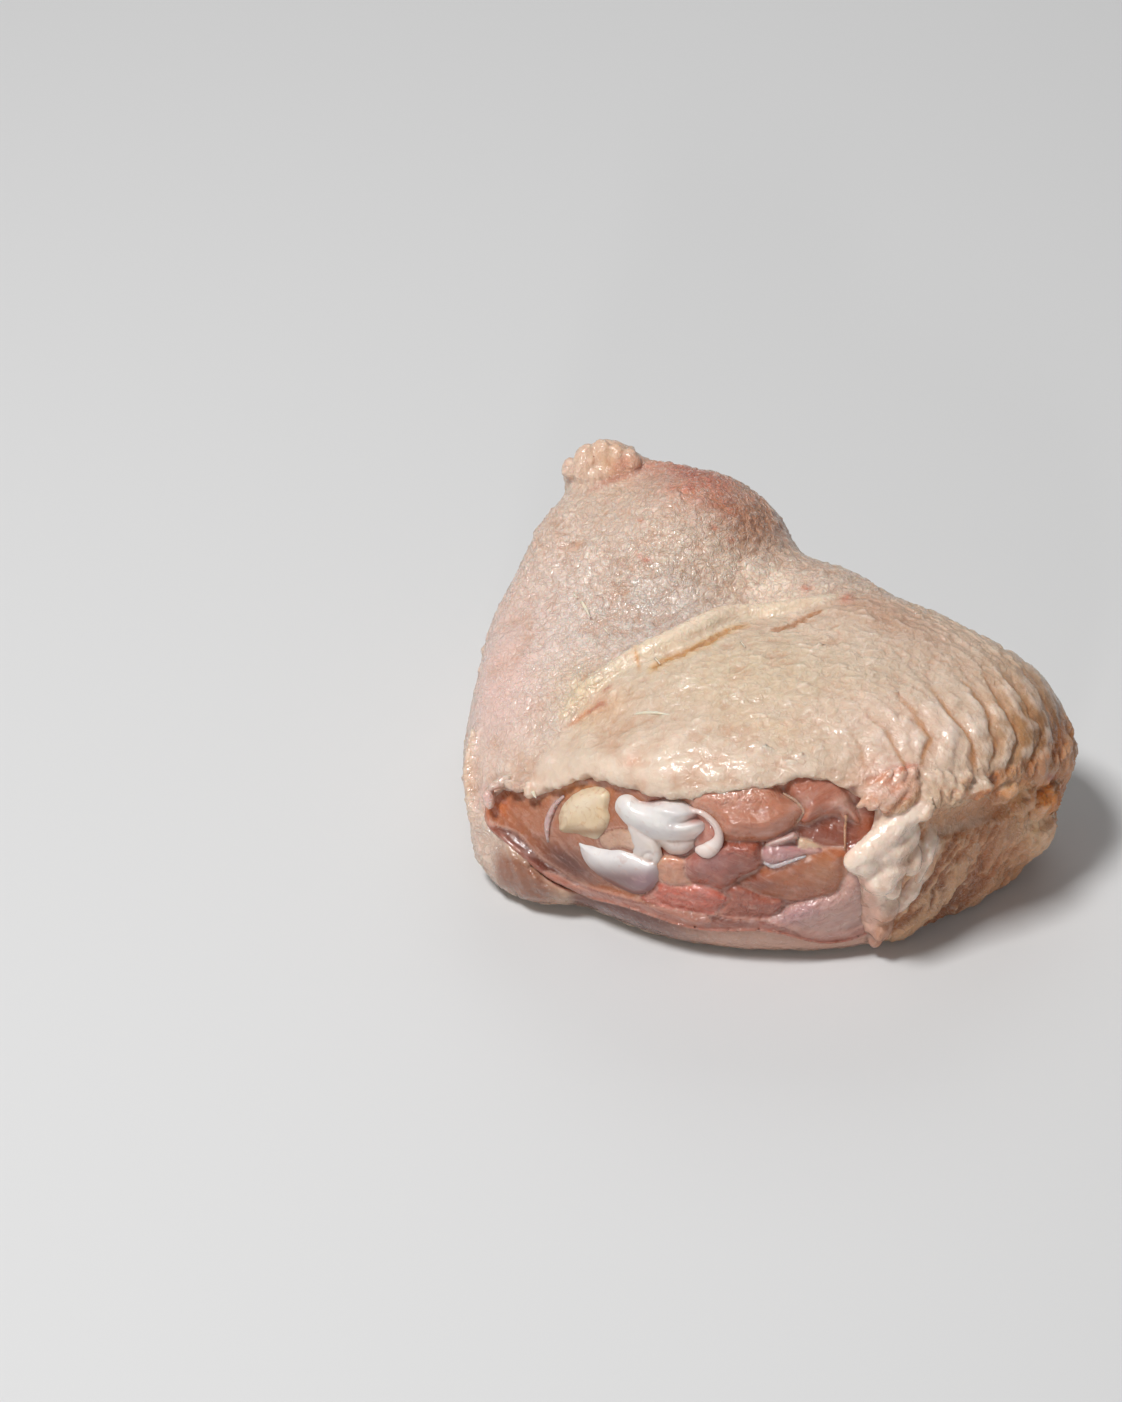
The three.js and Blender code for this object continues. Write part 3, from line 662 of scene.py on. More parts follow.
def pleat(P, x, y):
    """0 in the valleys, 1 on the crests, steep on each tongue's right side"""
    xw = x + 5.0 * noise(P, 5.0, 55) + 2.0 * noise(P, 2.0, 56)
    at = np.stack([np.interp(y, PLEAT_Y, p).astype(F32) for p in PLEATS], -1)
    k = np.clip((xw[:, None] > at).sum(-1), 1, len(PLEATS) - 1)
    a, b = np.take_along_axis(at, k[:, None] - 1, 1)[:, 0], np.take_along_axis(at, k[:, None], 1)[:, 0]
    t = np.clip((xw - a) / (b - a), 0, 1)
    return step(0, 0.5, t) * (1 - step(0.80, 1, t)), t, k


def skin_relief(P, N, x, y, face):
    """height of the wrinkles, follicle bumps and pleats in mm, and which zone each point is in"""
    up = above_fold(P)
    w1, w2 = swirl(P, 3.0, 1.2, 5), swirl(P, 1.6, 0.5, 8)
    flank = blob(x, y, 500, 700, 50, 120, 8) * face
    brow = blob(x, y, 650, 768, 165, 34, -1) * face
    knob = blob(x, y, 600, 458, 40, 28) * face
    band = step(884, 896, y - 0.02 * (x - 600)) * step(560, 580, x) * step(880, 866, x) * face
    lobe = np.clip(1.5 * blob(x, y, 522, 880, 44, 20, 35), 0, 1) * face * step(488, 500, x)
    end = step(0.25, 0.6, N[:, 0] * 0.62 - N[:, 1] * 0.78) * step(16, 24, P[:, 0]) * step(38, 34, P[:, 2]) * step(0.55, 0.35, N[:, 2])
    dome = step(826, 872, x) * step(682, 712, y) * step(790, 770, y) * face
    calm = np.clip(1 - 0.85 * flank - 0.85 * brow - 0.9 * knob - band - 0.8 * lobe - 0.6 * end, 0, 1)
    # above the fold: soft uneven lumps, squirming folds between them, and a few follicle bumps
    f1, f2, fid = cells(swirl(P, 5.0, 0.8, 13), 4.1, 12, 0.55)
    q1, q2, qid = cells(swirl(P, 4.0, 1.6, 17), 3.1, 18, 0.95)
    ease = 0.45 + 0.55 * step(-0.25, 0.3, noise(P, 8.0, 19))
    a = 0.30 * fbm(w1, 3.4, 20, 2) + 0.20 * (step(0.0, 0.5, q2 - q1) - 0.6) * (0.4 + 0.9 * qid)
    w3 = swirl(P, 7.0, 2.6, 6)
    a += ease * (0.34 * ridged(w3, A(4.6, 1.9, 2.2), 21, 0.26) + 0.20 * ridged(w3, A(2.2, 4.4, 2.2), 22, 0.2))
    a += step(0.45, 0.6, fid) * (0.40 * np.exp(-(f1 / 0.14) ** 2) - 0.14 * np.exp(-((f1 - 0.27) / 0.08) ** 2))
    # below it: longer wrinkles that follow the dome's outline
    B = P.copy()
    B[:, 1] += 0.016 * np.maximum(0, P[:, 0] - 8) ** 2
    B = swirl(B, 4.0, 0.9, 16)
    b = 0.34 * fbm(B, A(5.5, 2.0, 2.4), 24, 2) + 0.30 * ridged(B, A(5.0, 1.7, 1.9), 25, 0.24) + 0.10 * ridged(w2, 1.3, 26, 0.3)
    g1, g2, gid = cells(B, A(3.4, 2.2, 2.4), 27, 0.8)
    b += 0.16 * (step(0, 0.35, g2 - g1) - 0.6)
    d = 0.30 * fbm(P, 9.0, 1, 2) + calm * (a * up + b * (1 - up)) - 0.12
    # soft fat lumps along the brow
    l1, l2, lid = cells(swirl(P, 4.0, 0.9, 33), A(4.4, 3.4, 3.2), 34, 0.8)
    d += brow * (0.26 * (step(0, 0.8, l2 - l1) - 0.5) + 0.07 * noise(P, 2.4, 32) + 0.75 * noise(P, 5.0, 31))
    # tongues of the dome
    pl, t, k = pleat(P, x, y)
    tip = step(780, 756, y + 4 * noise(P, 4.0, 57))
    amp = step(800, 940, x) * step(650, 730, y + 0.25 * (x - 950)) * tip * face
    d = d * (1 - 0.55 * amp) + amp * (1 - 0.35 * step(1010, 1050, x)) * (0.70 * (pl - 0.55) + 0.42 * (0.3 + pl) * noise(P, A(2.8, 2.8, 2.8), 58))
    along = np.stack([t * 4.0 + 7.0 * k, y * 0.02, 0 * y], -1).astype(F32)
    d += amp * 0.16 * ridged(along, A(0.8, 1.0, 1.0), 59, 0.3)
    # bumps along the back ridge
    back = step(0.30, -0.10, N @ -FW) * step(-0.5, 0.2, N[:, 2]) * (1 - up)
    d += 0.30 * back * (step(0, 0.4, g2 - g1) - 0.5)
    # slanting crumpled folds on the end face
    D, C, E = unit(A(-0.49, -0.38, -0.785)[None])[0], None, unit(A(0.6, -0.78, 0)[None])[0]
    C = np.cross(D, E).astype(F32)
    q = swirl(P, 8.0, 1.6, 63)
    q = np.stack([q @ D, q @ C, q @ E], -1).astype(F32)
    d += end * (0.75 * noise(q, A(20, 5.6, 9.0), 65) + 0.60 * noise(q, A(14, 2.9, 5.0), 61) + 0.55 * ridged(q, A(8.0, 1.9, 3.0), 62, 0.34) + 0.34 * ridged(q, A(5.0, 1.15, 2.2), 79, 0.4) + 0.22 * noise(P, 1.8, 81))
    nook = blob(x, y, 966, 812, 44, 15, 2) * face
    d += nook * (0.5 * noise(swirl(P, 4.0, 1.2, 83), 3.2, 84) + 0.45 * ridged(swirl(P, 4.0, 1.6, 85), A(3.6, 2.3, 2.3), 86, 0.35))
    # columns round the knob, rays on the small lobe
    d += knob * (0.30 * ridged(P, A(2.3, 2.3, 7.0), 66, 0.42) + 0.16 * noise(P, 2.2, 67))
    ang = np.arctan2(y - 838, x - 500)
    d += lobe * 0.42 * (np.abs(np.sin(ang * 7 + 1.2 * noise(P, 5.0, 68))) - 0.5)
    # the folded strip and the fat
    ft = step(1.2, -0.2, np.minimum(lumps(P, FAT, 1.2), tube(P, FAT_EDGE)))
    d = d * (1 - 0.85 * ft) + ft * (0.22 * noise(P, 2.4, 69) + 0.06 * noise(P, 1.1, 70))
    mb = np.clip(blob(x, y, 888, 784, 32, 24, 30) * 1.4, 0, 1) * face
    d = d * (1 - 0.6 * mb) + mb * 0.45 * ridged(np.stack([(x + 1.7 * y) * 0.06, (x - 0.6 * y) * 0.06, P[:, 2] * 0], -1) + 0.5 * noise(P, 3.0, 82)[:, None], A(1.25, 6.0, 9), 80, 0.4)
    fo = step(1.2, 0.0, tube(P, FOLD))
    d = d * (1 - 0.72 * fo) + fo * 0.16 * noise(swirl(P, 2.0, 0.6, 77), 1.8, 78)
    return d, {"up": up, "flank": flank, "brow": brow, "knob": knob, "band": band, "lobe": lobe, "end": end, "amp": amp, "t": t, "fat": ft, "fold": fo, "f": (f1, fid)}


def skin_tone(P, N, x, y, s, face, d, z):
    n1, n2, n3 = fbm(P, 11.0, 71), fbm(P, 4.0, 72), noise(P, 1.6, 73)
    up, end = z["up"], z["end"]
    c = np.repeat(linear((219, 192, 169))[None], len(P), 0)
    c = mix(c, (209, 184, 158), (0.4 + 0.6 * n1))
    c = mix(c, (230, 203, 186), 0.78 * up * (0.7 + 0.6 * n2))
    c = mix(c, (234, 212, 194), 0.40 * step(0.05, 0.5, n2))
    c = mix(c, (216, 204, 196), 0.8 * blob(x, y, 650, 620, 68, 48, -22) * face)
    c = mix(c, (238, 220, 210), 0.7 * blob(x, y, 560, 620, 44, 76, 10) * face)
    c = mix(c, (232, 202, 192), 0.85 * z["flank"])
    c = mix(c, (238, 196, 186), 0.4 * blob(x, y, 496, 680, 24, 60, 10) * face)
    c = mix(c, (202, 116, 92), 1.0 * blob(x, y, 700, 484, 70, 26, 20) * face * (0.8 + 0.6 * n2))
    c = mix(c, (176, 84, 64), 0.8 * blob(x, y, 694, 471, 32, 9, 14) * face)
    c = mix(c, (186, 100, 70), 0.8 * blob(x, y, 728, 508, 30, 10, 38) * face)
    c = mix(c, (182, 122, 90), 0.85 * blob(x, y, 756, 528, 36, 32, 40) * face)
    c = mix(c, (228, 190, 162), 0.75 * z["knob"])
    c = mix(c, (222, 176, 134), 0.55 * blob(x, y, 612, 462, 16, 18, 0) * face)
    c = mix(c, (232, 198, 176), 0.8 * blob(x, y, 569, 470, 8, 11) * face)
    c = mix(c, (200, 104, 78), 0.75 * step(0.5, -0.1, tube(P, KNOB_CUT)))
    c = mix(c, (214, 124, 96), 0.55 * blob(x, y, 622, 466, 14, 8, -30) * face)
    c = mix(c, (216, 194, 160), 0.6 * blob(x, y, 740, 668, 150, 40, 4) * face * (1 - up))
    c = mix(c, (212, 188, 168), 0.5 * blob(x, y, 900, 650, 90, 34, 25) * face)
    c = mix(c, (224, 184, 134), 0.5 * blob(x, y, 768, 730, 46, 14, 14) * face * (0.6 + n2))
    c = mix(c, (238, 206, 186), 0.7 * blob(x, y, 905, 728, 80, 32, 10) * face)
    # painted shade: the dome's right end, which turns away from the light, darkens to ochre and then deep brown
    c = mix(c, (184, 128, 72), 0.9 * blob(x, y, 1030, 735, 44, 64, -10) * step(-0.2, 0.5, N @ -FW))
    c = mix(c, (122, 68, 16), 0.92 * blob(x, y, 1062, 750, 24, 60, -10) * step(-0.1, 0.5, N @ -FW))
    c = mix(c, (232, 211, 190), 0.85 * z["brow"])
    c = mix(c, (238, 206, 186), 0.35 * z["brow"] * step(-0.1, 0.5, n2))
    c = mix(c, (222, 160, 128), 0.5 * blob(x, y, 632, 762, 9, 6) * face)
    c = mix(c, (210, 128, 92), 0.85 * blob(x, y, 888, 786, 32, 24, 30) * face)
    c = mix(c, (232, 170, 142), 0.62 * step(0.5, -0.3, lumps(P, MEMB, 0.5)))
    c = mix(c, (198, 82, 50), 0.85 * blob(x, y, 910, 804, 13, 6, 30) * face)
    c = mix(c, (206, 96, 60), 0.7 * blob(x, y, 905, 768, 14, 4, -8) * face)
    c = mix(c, (110, 36, 26), 0.9 * blob(x, y, 853, 789, 5, 3.5, 20) * face)
    c = mix(c, (186, 142, 114), 0.75 * blob(x, y, 866, 604, 110, 18, 26) * face * (1 - up))
    # painted light: a paler patch on the hill's upper right slope, which the lamps leave too dark
    c = mix(c, (250, 226, 204), 0.9 * blob(x, y, 764, 580, 60, 28, 20) * face * up)
    for cx, cy, r in ((646, 560, 4.5), (731, 540, 4), (714, 528, 4), (806, 588, 6), (846, 598, 7), (672, 487, 3.5), (697, 490, 3.5), (640, 556, 3), (640, 520, 3)):
        c = mix(c, (204, 100, 70), 0.7 * blob(x, y, cx, cy, r, r * 0.7) * face)
    # the end face, painted in shade: brown overall, darker towards its lower left and in its folds, with painted
    # highlight on the crests; then its yellow fat and red spot
    e = np.clip(end * 1.2, 0, 1)
    c = mix(c, (190, 112, 54), 0.96 * e)
    # painted shade: darker towards the lower left of the end face
    c = mix(c, (128, 66, 22), 0.85 * e * blob(x, y, 940, 900, 50, 34, -40))
    # painted highlight: paler on the crests of the end-face folds
    c = mix(c, (234, 192, 150), 0.75 * e * step(0.0, 0.5, d) * step(985, 945, x))
    c = mix(c, (214, 148, 90), 0.6 * e * step(0.1, 0.5, d))
    # painted shade: darker down in the end-face folds
    c = mix(c, (122, 62, 26), 0.65 * e * step(0.0, -0.8, d))
    c = mix(c, (222, 158, 92), 0.75 * blob(x, y, 1016, 793, 14, 22, 0) * face)
    c = mix(c, (255, 158, 66), 0.97 * np.clip(1.3 * blob(x, y, 1046, 797, 10, 14, 12), 0, 1) * face)
    c = mix(c, (214, 136, 52), 0.8 * blob(x, y, 1028, 813, 16, 4, -20) * face)
    c = mix(c, (166, 40, 28), 0.9 * blob(x, y, 1049, 776, 5.5, 3.0, 30) * face)
    c = mix(c, (250, 206, 162), 0.9 * blob(x, y, 1036, 832, 18, 20, -30) * step(-0.3, 0.2, N @ -FW))
    c = mix(c, (232, 200, 170), 0.7 * blob(x, y, 942, 792, 26, 16, -10) * face * step(-0.3, 0.3, d + 0.3))
    # the fold roll, paler partly by its own colour and partly by painted highlight; the crease under the fold, its
    # yellow fat darkened with painted shade; and the small wounds at its end
    cr = step(0.75, 0.15, tube(P, CREASE)) + 0.8 * step(0.6, 0.1, tube(P, CREASE2))
    # the roll's own pale colour, partly painted highlight
    c = mix(c, (242, 220, 192), 0.75 * z["fold"])
    # the crease's ochre, partly its own yellow fat and partly painted shade
    c = mix(c, (168, 98, 20), 0.97 * np.clip(cr, 0, 1))
    c = mix(c, (220, 176, 118), 0.5 * step(2.2, 0.5, tube(P, CREASE)) * (1 - z["fold"]))
    c = mix(c, (214, 150, 78), 0.75 * blob(x, y, 637, 658, 2.2, 12, -12) * face)
    c = mix(c, (236, 214, 172), 0.55 * blob(x, y, 585, 695, 26, 30, -40) * face * (1 - blob(x, y, 600, 702, 12, 12)))
    for cx, cy, rx, ry, t in ((602, 704, 4.5, 2.6, 0), (607, 689, 6, 1.6, -40), (595, 708, 9, 1.8, -38), (590, 711, 5, 2.2, -30)):
        c = mix(c, (150, 40, 34), 0.85 * blob(x, y, cx, cy, rx, ry, t) * face)
    c = mix(c, (206, 124, 74), 0.8 * blob(x, y, 579, 718, 15, 2.4, -38) * face)
    c = mix(c, (226, 168, 126), 0.45 * blob(x, y, 604, 706, 26, 16, -30) * face)
    # fat beside the cut, darker towards the bottom with painted shade, and the flap
    c = mix(c, (252, 229, 211), 0.97 * z["fat"])
    c = mix(c, (240, 196, 172), 0.35 * z["fat"] * step(0.0, 0.5, n2 + 0.4 * n3))
    # painted shade: the fat darkens towards the bottom
    c = mix(c, (180, 114, 74), 0.85 * z["fat"] * step(898, 925, y))
    c = mix(c, (214, 172, 140), 0.7 * z["fat"] * blob(x, y, 909, 860, 9, 16, 6))
    c = mix(c, (236, 224, 212), 0.35 * step(0.25, 0.0, lumps(P, FLAKES, 0.3)))
    c = mix(c, (232, 186, 180), 0.8 * blob(x, y, 488, 797, 9, 12) * face)
    # the smooth film along the bottom, its left end dark with painted shade, and the small lobe, its own pink-brown
    # darkened with painted shade
    # painted shade: the left end of the bottom film
    c = mix(c, (108, 48, 34), 0.95 * z["band"])
    c = mix(c, (202, 158, 138), 0.95 * z["band"] * step(640, 730, x))
    # the small lobe's own pink-brown, darkened with painted shade
    c = mix(c, (146, 92, 68), 0.94 * z["lobe"])
    fl = step(0.6, -0.1, tube(P, FLAP))
    c = mix(c, (238, 208, 184), 0.9 * fl)
    c = mix(c, (206, 138, 70), 0.85 * fl * step(826, 842, y))
    # painted highlight: a paler wet line along the bottom rim of the cut
    rim = face * step(1.6, 0.4, np.abs(to_outline(x, y) * s - 0.3)) * step(872, 885, y)
    c = mix(c, (236, 186, 164), 0.7 * rim)
    # painted shade makes the folds warmer and darker, and painted highlight makes the crests paler
    flat = (1 - z["band"]) * (1 - z["lobe"]) * (1 - 0.7 * e)
    c = mix(c, (198, 144, 110), 0.55 * step(-0.02, -0.45, d) * flat)
    c = mix(c, (246, 230, 216), 0.45 * step(0.12, 0.5, d) * flat)
    # painted shade: ochre lines down the valleys between the pleats
    c = mix(c, (206, 140, 86), 0.75 * z["amp"] * (step(0.86, 0.95, z["t"]) + step(0.05, 0.0, z["t"])))
    f1, fid = z["f"]
    c = mix(c, (190, 118, 78), 0.6 * step(0.13, 0.04, f1) * step(0.5, 0.8, fid) * (1 - z["fat"]) * flat)
    return np.clip(c * (1 + 0.05 * n2 + 0.04 * n3)[:, None], 0, 1)


def build_skin(h):
    V, Q = nets(skin_field, (-60, -50, -1), (60, 58, 56), h)
    V, Q = biggest(V, Q)
    V = settle(skin_field, V)
    N = normals(V, Q)
    x, y, w, s = grid(V)
    face = step(-0.15, 0.25, N @ -FW)
    hu = hull(V)
    outer = step(-1.7, -0.7, hu) * step(0.0, 1.5, V[:, 2])
    d, z = skin_relief(V, N, x, y, face)
    P = (V + N * (d * outer)[:, None]).astype(F32)
    P[:, 2] = np.maximum(P[:, 2], 0.0)
    c = skin_tone(V, N, x, y, s, face, d, z)
    inside = step(-1.2, -1.9, hu)
    low = step(2.5, 0.3, V[:, 2])
    weight = np.clip(1 - 0.35 * (1 - face) - 0.45 * low, 0.3, 1) * (1 - inside) + 0.2 * inside
    memb = step(0.8, 0.0, lumps(V, MEMB, 0.4)) * face
    wet = np.clip(z["band"] + z["lobe"] + 0.9 * z["fat"] + 0.3 * z["flank"] + memb + 0.25 * z["amp"], 0, 1)
    fine = np.clip(0.35 + 0.65 * z["up"] - 0.5 * z["flank"] - 0.20 * z["brow"] - 0.75 * z["knob"] - z["band"] - 0.7 * z["lobe"] - 0.3 * z["fat"] - 0.15 * z["amp"] + 0.2 * z["end"], 0.04, 1)
    return make("skin_sheet", P, Q, c, {"wet": wet, "fine": fine}, 196000, weight)


# ---------------------------------------------------------------- the cut: muscles, bone ends, fat
# Each patch is an outline over the grid, how deep its edge lies under the hull, how much it swells and over how
# many grid units, which way its grain runs, and its tone.
MUSCLES = [
    ("sheet", [(474, 796), (486, 774), (521, 770), (553, 770), (580, 770), (620, 772), (645, 790), (648, 840), (655, 870), (660, 905), (642, 902), (618, 896), (585, 886), (559, 870), (539, 856), (519, 834), (500, 826), (480, 822)], -2.1, 0.7, 34, 38, (173, 110, 78)),
    ("low_strip", [(480, 818), (500, 824), (519, 832), (539, 853), (559, 867), (585, 883), (618, 893), (642, 899), (700, 912), (760, 919), (800, 930), (800, 945), (700, 940), (600, 915), (540, 885), (500, 850)], -2.7, 0.5, 8, 26, (104, 48, 34)),
    ("strip2", [(545, 872), (560, 876), (580, 887), (620, 900), (660, 908), (704, 915), (704, 924), (650, 922), (600, 908), (566, 894), (550, 882)], -1.9, 0.9, 5, 24, (176, 118, 98)),
    ("m1", [(684, 800), (696, 782), (721, 772), (741, 770), (760, 772), (776, 782), (790, 796), (801, 806), (803, 813), (797, 822), (786, 831), (774, 837), (760, 840), (743, 841), (730, 841), (722, 838), (716, 830), (708, 822), (696, 814)], -2.5, 2.9, 19, 4, (200, 132, 102)),
    ("m2", [(784, 794), (784, 780), (800, 764), (822, 764), (842, 776), (850, 790), (853, 804), (859, 820), (854, 820), (849, 816), (844, 819), (839, 814), (827, 814), (816, 818), (807, 823), (800, 821), (803, 813), (800, 806)], -2.6, 1.9, 13, -32, (184, 114, 88)),
    ("m3", [(790, 836), (807, 820), (826, 812), (841, 812), (861, 810), (884, 808), (894, 820), (884, 838), (863, 852), (846, 858), (829, 852), (811, 852), (797, 848)], -5.4, 0.8, 16, 24, (186, 70, 12)),
    ("m4", [(761, 858), (765, 847), (786, 845), (803, 848), (822, 850), (816, 854), (803, 857), (790, 862), (777, 866), (766, 864)], -2.7, 1.1, 6, 8, (192, 146, 146)),
    ("m5", [(736, 886), (746, 876), (764, 866), (780, 861), (800, 850), (822, 848), (844, 848), (848, 857), (847, 873), (841, 889), (828, 896), (805, 900), (786, 899), (768, 897), (754, 893), (744, 889)], -3.1, 1.5, 18, 30, (176, 102, 62)),
    ("m6", [(682, 864), (689, 857), (702, 850), (715, 845), (724, 841), (741, 841), (758, 843), (762, 856), (759, 866), (750, 873), (741, 876), (733, 884), (724, 892), (715, 890), (704, 884), (691, 882), (683, 875)], -2.6, 1.9, 13, 22, (160, 82, 58)),
    ("socket", [(690, 806), (706, 812), (716, 826), (717, 840), (706, 849), (694, 844), (702, 826)], -2.3, 0.5, 6, 60, (206, 138, 122)),
    ("tongue", [(766, 846), (772, 840), (786, 835), (794, 832), (797, 836), (790, 841), (778, 845)], -2.5, 1.1, 4, 16, (220, 190, 182)),
    ("wedge", [(797, 850), (797, 840), (802, 837), (812, 840), (823, 848), (811, 851)], -3.8, 1.5, 5, 0, (228, 200, 168)),
    ("red", [(638, 896), (650, 887), (661, 880), (676, 884), (689, 883), (711, 886), (725, 893), (729, 900), (722, 908), (711, 915), (694, 914), (672, 911), (653, 906), (642, 902)], -2.6, 1.4, 10, 14, (204, 110, 90)),
    ("grains", [(655, 858), (684, 860), (687, 875), (692, 886), (676, 889), (661, 884), (653, 871)], -2.5, 0.9, 8, 0, (208, 150, 122)),
    ("peach", [(598, 834), (616, 826), (632, 829), (640, 842), (636, 852), (618, 850), (609, 853), (598, 846)], -2.0, 0.8, 6, 0, (222, 180, 148)),
    ("m7", [(720, 892), (734, 884), (747, 887), (764, 896), (782, 900), (778, 910), (769, 918), (756, 921), (741, 921), (726, 919), (713, 914), (719, 907), (727, 899)], -2.7, 1.3, 9, -10, (170, 98, 78)),
    ("m8", [(768, 922), (781, 912), (798, 903), (829, 896), (840, 889), (846, 877), (862, 870), (872, 882), (870, 899), (874, 912), (866, 922), (850, 932), (839, 940), (824, 942), (807, 938), (788, 930)], -2.5, 1.8, 15, -28, (202, 160, 148)),
]
BONES = [
    ("upper", [(613, 801), (617, 795), (625, 792), (634, 794), (640, 800), (650, 802), (659, 798), (672, 797), (684, 800), (695, 808), (704, 818), (706, 828), (700, 835), (690, 840), (676, 842), (659, 841), (646, 837), (634, 832), (624, 826), (616, 817), (612, 809)], -2.4, 3.3, 17, 20, (238, 233, 228)),
    ("scallop", [(654, 838), (662, 846), (670, 853), (680, 854), (689, 850), (696, 840), (680, 838)], -2.9, 1.3, 7, 0, (226, 206, 192)),
    ("lower", [(574, 836), (582, 840), (592, 843), (602, 846), (612, 847), (622, 847), (634, 852), (648, 856), (658, 862), (660, 874), (656, 886), (645, 896), (632, 896), (616, 888), (603, 881), (592, 873), (583, 863), (577, 850)], -2.3, 2.6, 16, 30, (240, 234, 230)),
    ("link", [(624, 820), (634, 822), (646, 834), (656, 842), (662, 856), (658, 867), (646, 869), (636, 862), (630, 850), (626, 836)], -2.3, 1.3, 8, 60, (222, 208, 196)),
]
PADS = [("pad", [(555, 824), (557, 810), (566, 797), (578, 788), (592, 784), (603, 785), (611, 790), (613, 798), (611, 808), (613, 818), (610, 829), (603, 838), (596, 843), (586, 840), (574, 836), (562, 836), (556, 832)], -2.5, 2.9, 15, 0, (226, 200, 168))]
GX, GY = 470, 762
GXN, GYN = 440, 206


def inside_of(poly):
    """how far inside an outline each place of the grid is, in grid units, negative outside"""
    poly = round_open(poly, 3)
    gx, gy = np.meshgrid(np.arange(GX, GX + GXN, dtype=float), np.arange(GY, GY + GYN, dtype=float))
    d, ins = np.full(gx.shape, 1e9), np.zeros(gx.shape, bool)
    for (ax, ay), (bx, by) in zip(poly, np.roll(poly, -1, 0)):
        ex, ey = bx - ax, by - ay
        t = np.clip(((gx - ax) * ex + (gy - ay) * ey) / (ex * ex + ey * ey + 1e-12), 0, 1)
        d = np.minimum(d, (gx - ax - ex * t) ** 2 + (gy - ay - ey * t) ** 2)
        c = ((ay <= gy) & (by > gy)) | ((by <= gy) & (ay > gy))
        ins ^= c & (gx < ax + (gy - ay) / (ey if ey else 1e-9) * ex)
    return np.where(ins, np.sqrt(d), -np.sqrt(d)).astype(F32)


def at(G, x, y):
    u = np.clip(x - GX, 0, GXN - 1.001)
    v = np.clip(y - GY, 0, GYN - 1.001)
    i, j = v.astype(int), u.astype(int)
    fi, fj = v - i, u - j
    return (G[i, j] * (1 - fi) * (1 - fj) + G[i + 1, j] * fi * (1 - fj) + G[i, j + 1] * (1 - fi) * fj + G[i + 1, j + 1] * fi * fj).astype(F32)


def hull_height():
    """height of the hull towards the viewer over the grid, by marching rays"""
    n = 4
    gx, gy = np.meshgrid(np.arange(GX, GX + GXN + n, n, dtype=float), np.arange(GY, GY + GYN + n, n, dtype=float))
    w = np.full(gx.size, 70.0)
    x, y = gx.ravel(), gy.ravel()
    for _ in range(70):
        s = (FAR - w) / FOCAL
        P = AT + ((x - W / 2) * s)[:, None] * RT - ((y - H / 2) * s)[:, None] * UP - w[:, None] * FW
        w = w - np.clip(hull(P.astype(F32)), -1, 3) * 0.8
    w = w.reshape(gx.shape)
    bad = w < -20
    for i in range(1, len(w)):
        w[i] = np.where(bad[i], w[i - 1] - 0.9, w[i])
    for i in range(len(w) - 2, -1, -1):
        w[i] = np.where(w[i] < -20, w[i + 1], w[i])
    k = np.arange(GXN) / n
    l = np.arange(GYN) / n
    i, j = l.astype(int), k.astype(int)
    fi, fj = (l - i)[:, None], (k - j)[None]
    w = w[i][:, j] * (1 - fi) * (1 - fj) + w[i + 1][:, j] * fi * (1 - fj) + w[i][:, j + 1] * (1 - fi) * fj + w[i + 1][:, j + 1] * fi * fj
    return w.astype(F32)


TOP = hull_height()


def swell(patch):
    """height of a patch over the grid: its rounded top inside its outline, far below outside it"""
    f = inside_of(patch[1])
    t = np.clip(f / patch[4], 0, 1)
    return np.where(f > 0, TOP + patch[2] + patch[3] * (1 - (1 - t) ** 2.0), TOP + patch[2] + np.maximum(f, -30) * 0.5).astype(F32), f


def soften(G, times=1):
    for _ in range(times):
        p = np.pad(G, 1, "edge")
        G = (4 * G + p[:-2, 1:-1] + p[2:, 1:-1] + p[1:-1, :-2] + p[1:-1, 2:]) / 8
    return G


def lay(patches, base):
    tops = [swell(p)[0] for p in patches]
    tops = np.stack(tops + ([TOP + base] if base is not None else []))
    order = np.sort(tops, 0)
    return soften(order[-1]), tops.argmax(0), soften(order[-1] - order[max(-2, -len(order))])


MEAT_TOP, MEAT_ID, MEAT_GAP = lay(MUSCLES, -3.5)
bx_, by_ = np.meshgrid(np.arange(GX, GX + GXN), np.arange(GY, GY + GYN))
BONE_TOP, BONE_ID, BONE_GAP = lay(BONES, None)
trough = np.exp(-(((bx_ - 693) * 0.97 - (by_ - 819) * 0.26) / 19.0) ** 2 - (((bx_ - 693) * 0.26 + (by_ - 819) * 0.97) / 4.6) ** 2)
crest = np.exp(-(((bx_ - 655) * 0.95 + (by_ - 808) * 0.3) / 26.0) ** 2 - ((-(bx_ - 655) * 0.3 + (by_ - 808) * 0.95) / 3.6) ** 2)
ring = np.hypot((bx_ - 648) * 1.0, (by_ - 858) * 1.2)
BONE_TOP = BONE_TOP - 2.0 * trough + 0.6 * crest - 0.4 * np.exp(-((ring - 5.5) / 1.6) ** 2)
RING = np.concatenate([seen2(curve([(691, 810, 42.6), (700, 812, 43.6), (709, 818, 43.9), (716, 826, 43.6), (719, 835, 43.0), (716, 844, 41.9), (708, 850, 40.9), (700, 850, 40.4)], 3)),
                       curve([(0, 0, 0, 0.4), (0, 0, 0, 0.5), (0, 0, 0, 0.55), (0, 0, 0, 0.65), (0, 0, 0, 0.8), (0, 0, 0, 1.2), (0, 0, 0, 1.5), (0, 0, 0, 0.9)], 3)[:, 3:]], 1).astype(F32)
BONE_IN = np.max([inside_of(p[1]) for p in BONES], 0)
PAD_TOP, PAD_ID, PAD_GAP = lay(PADS, None)
PAD_IN = inside_of(PADS[0][1])


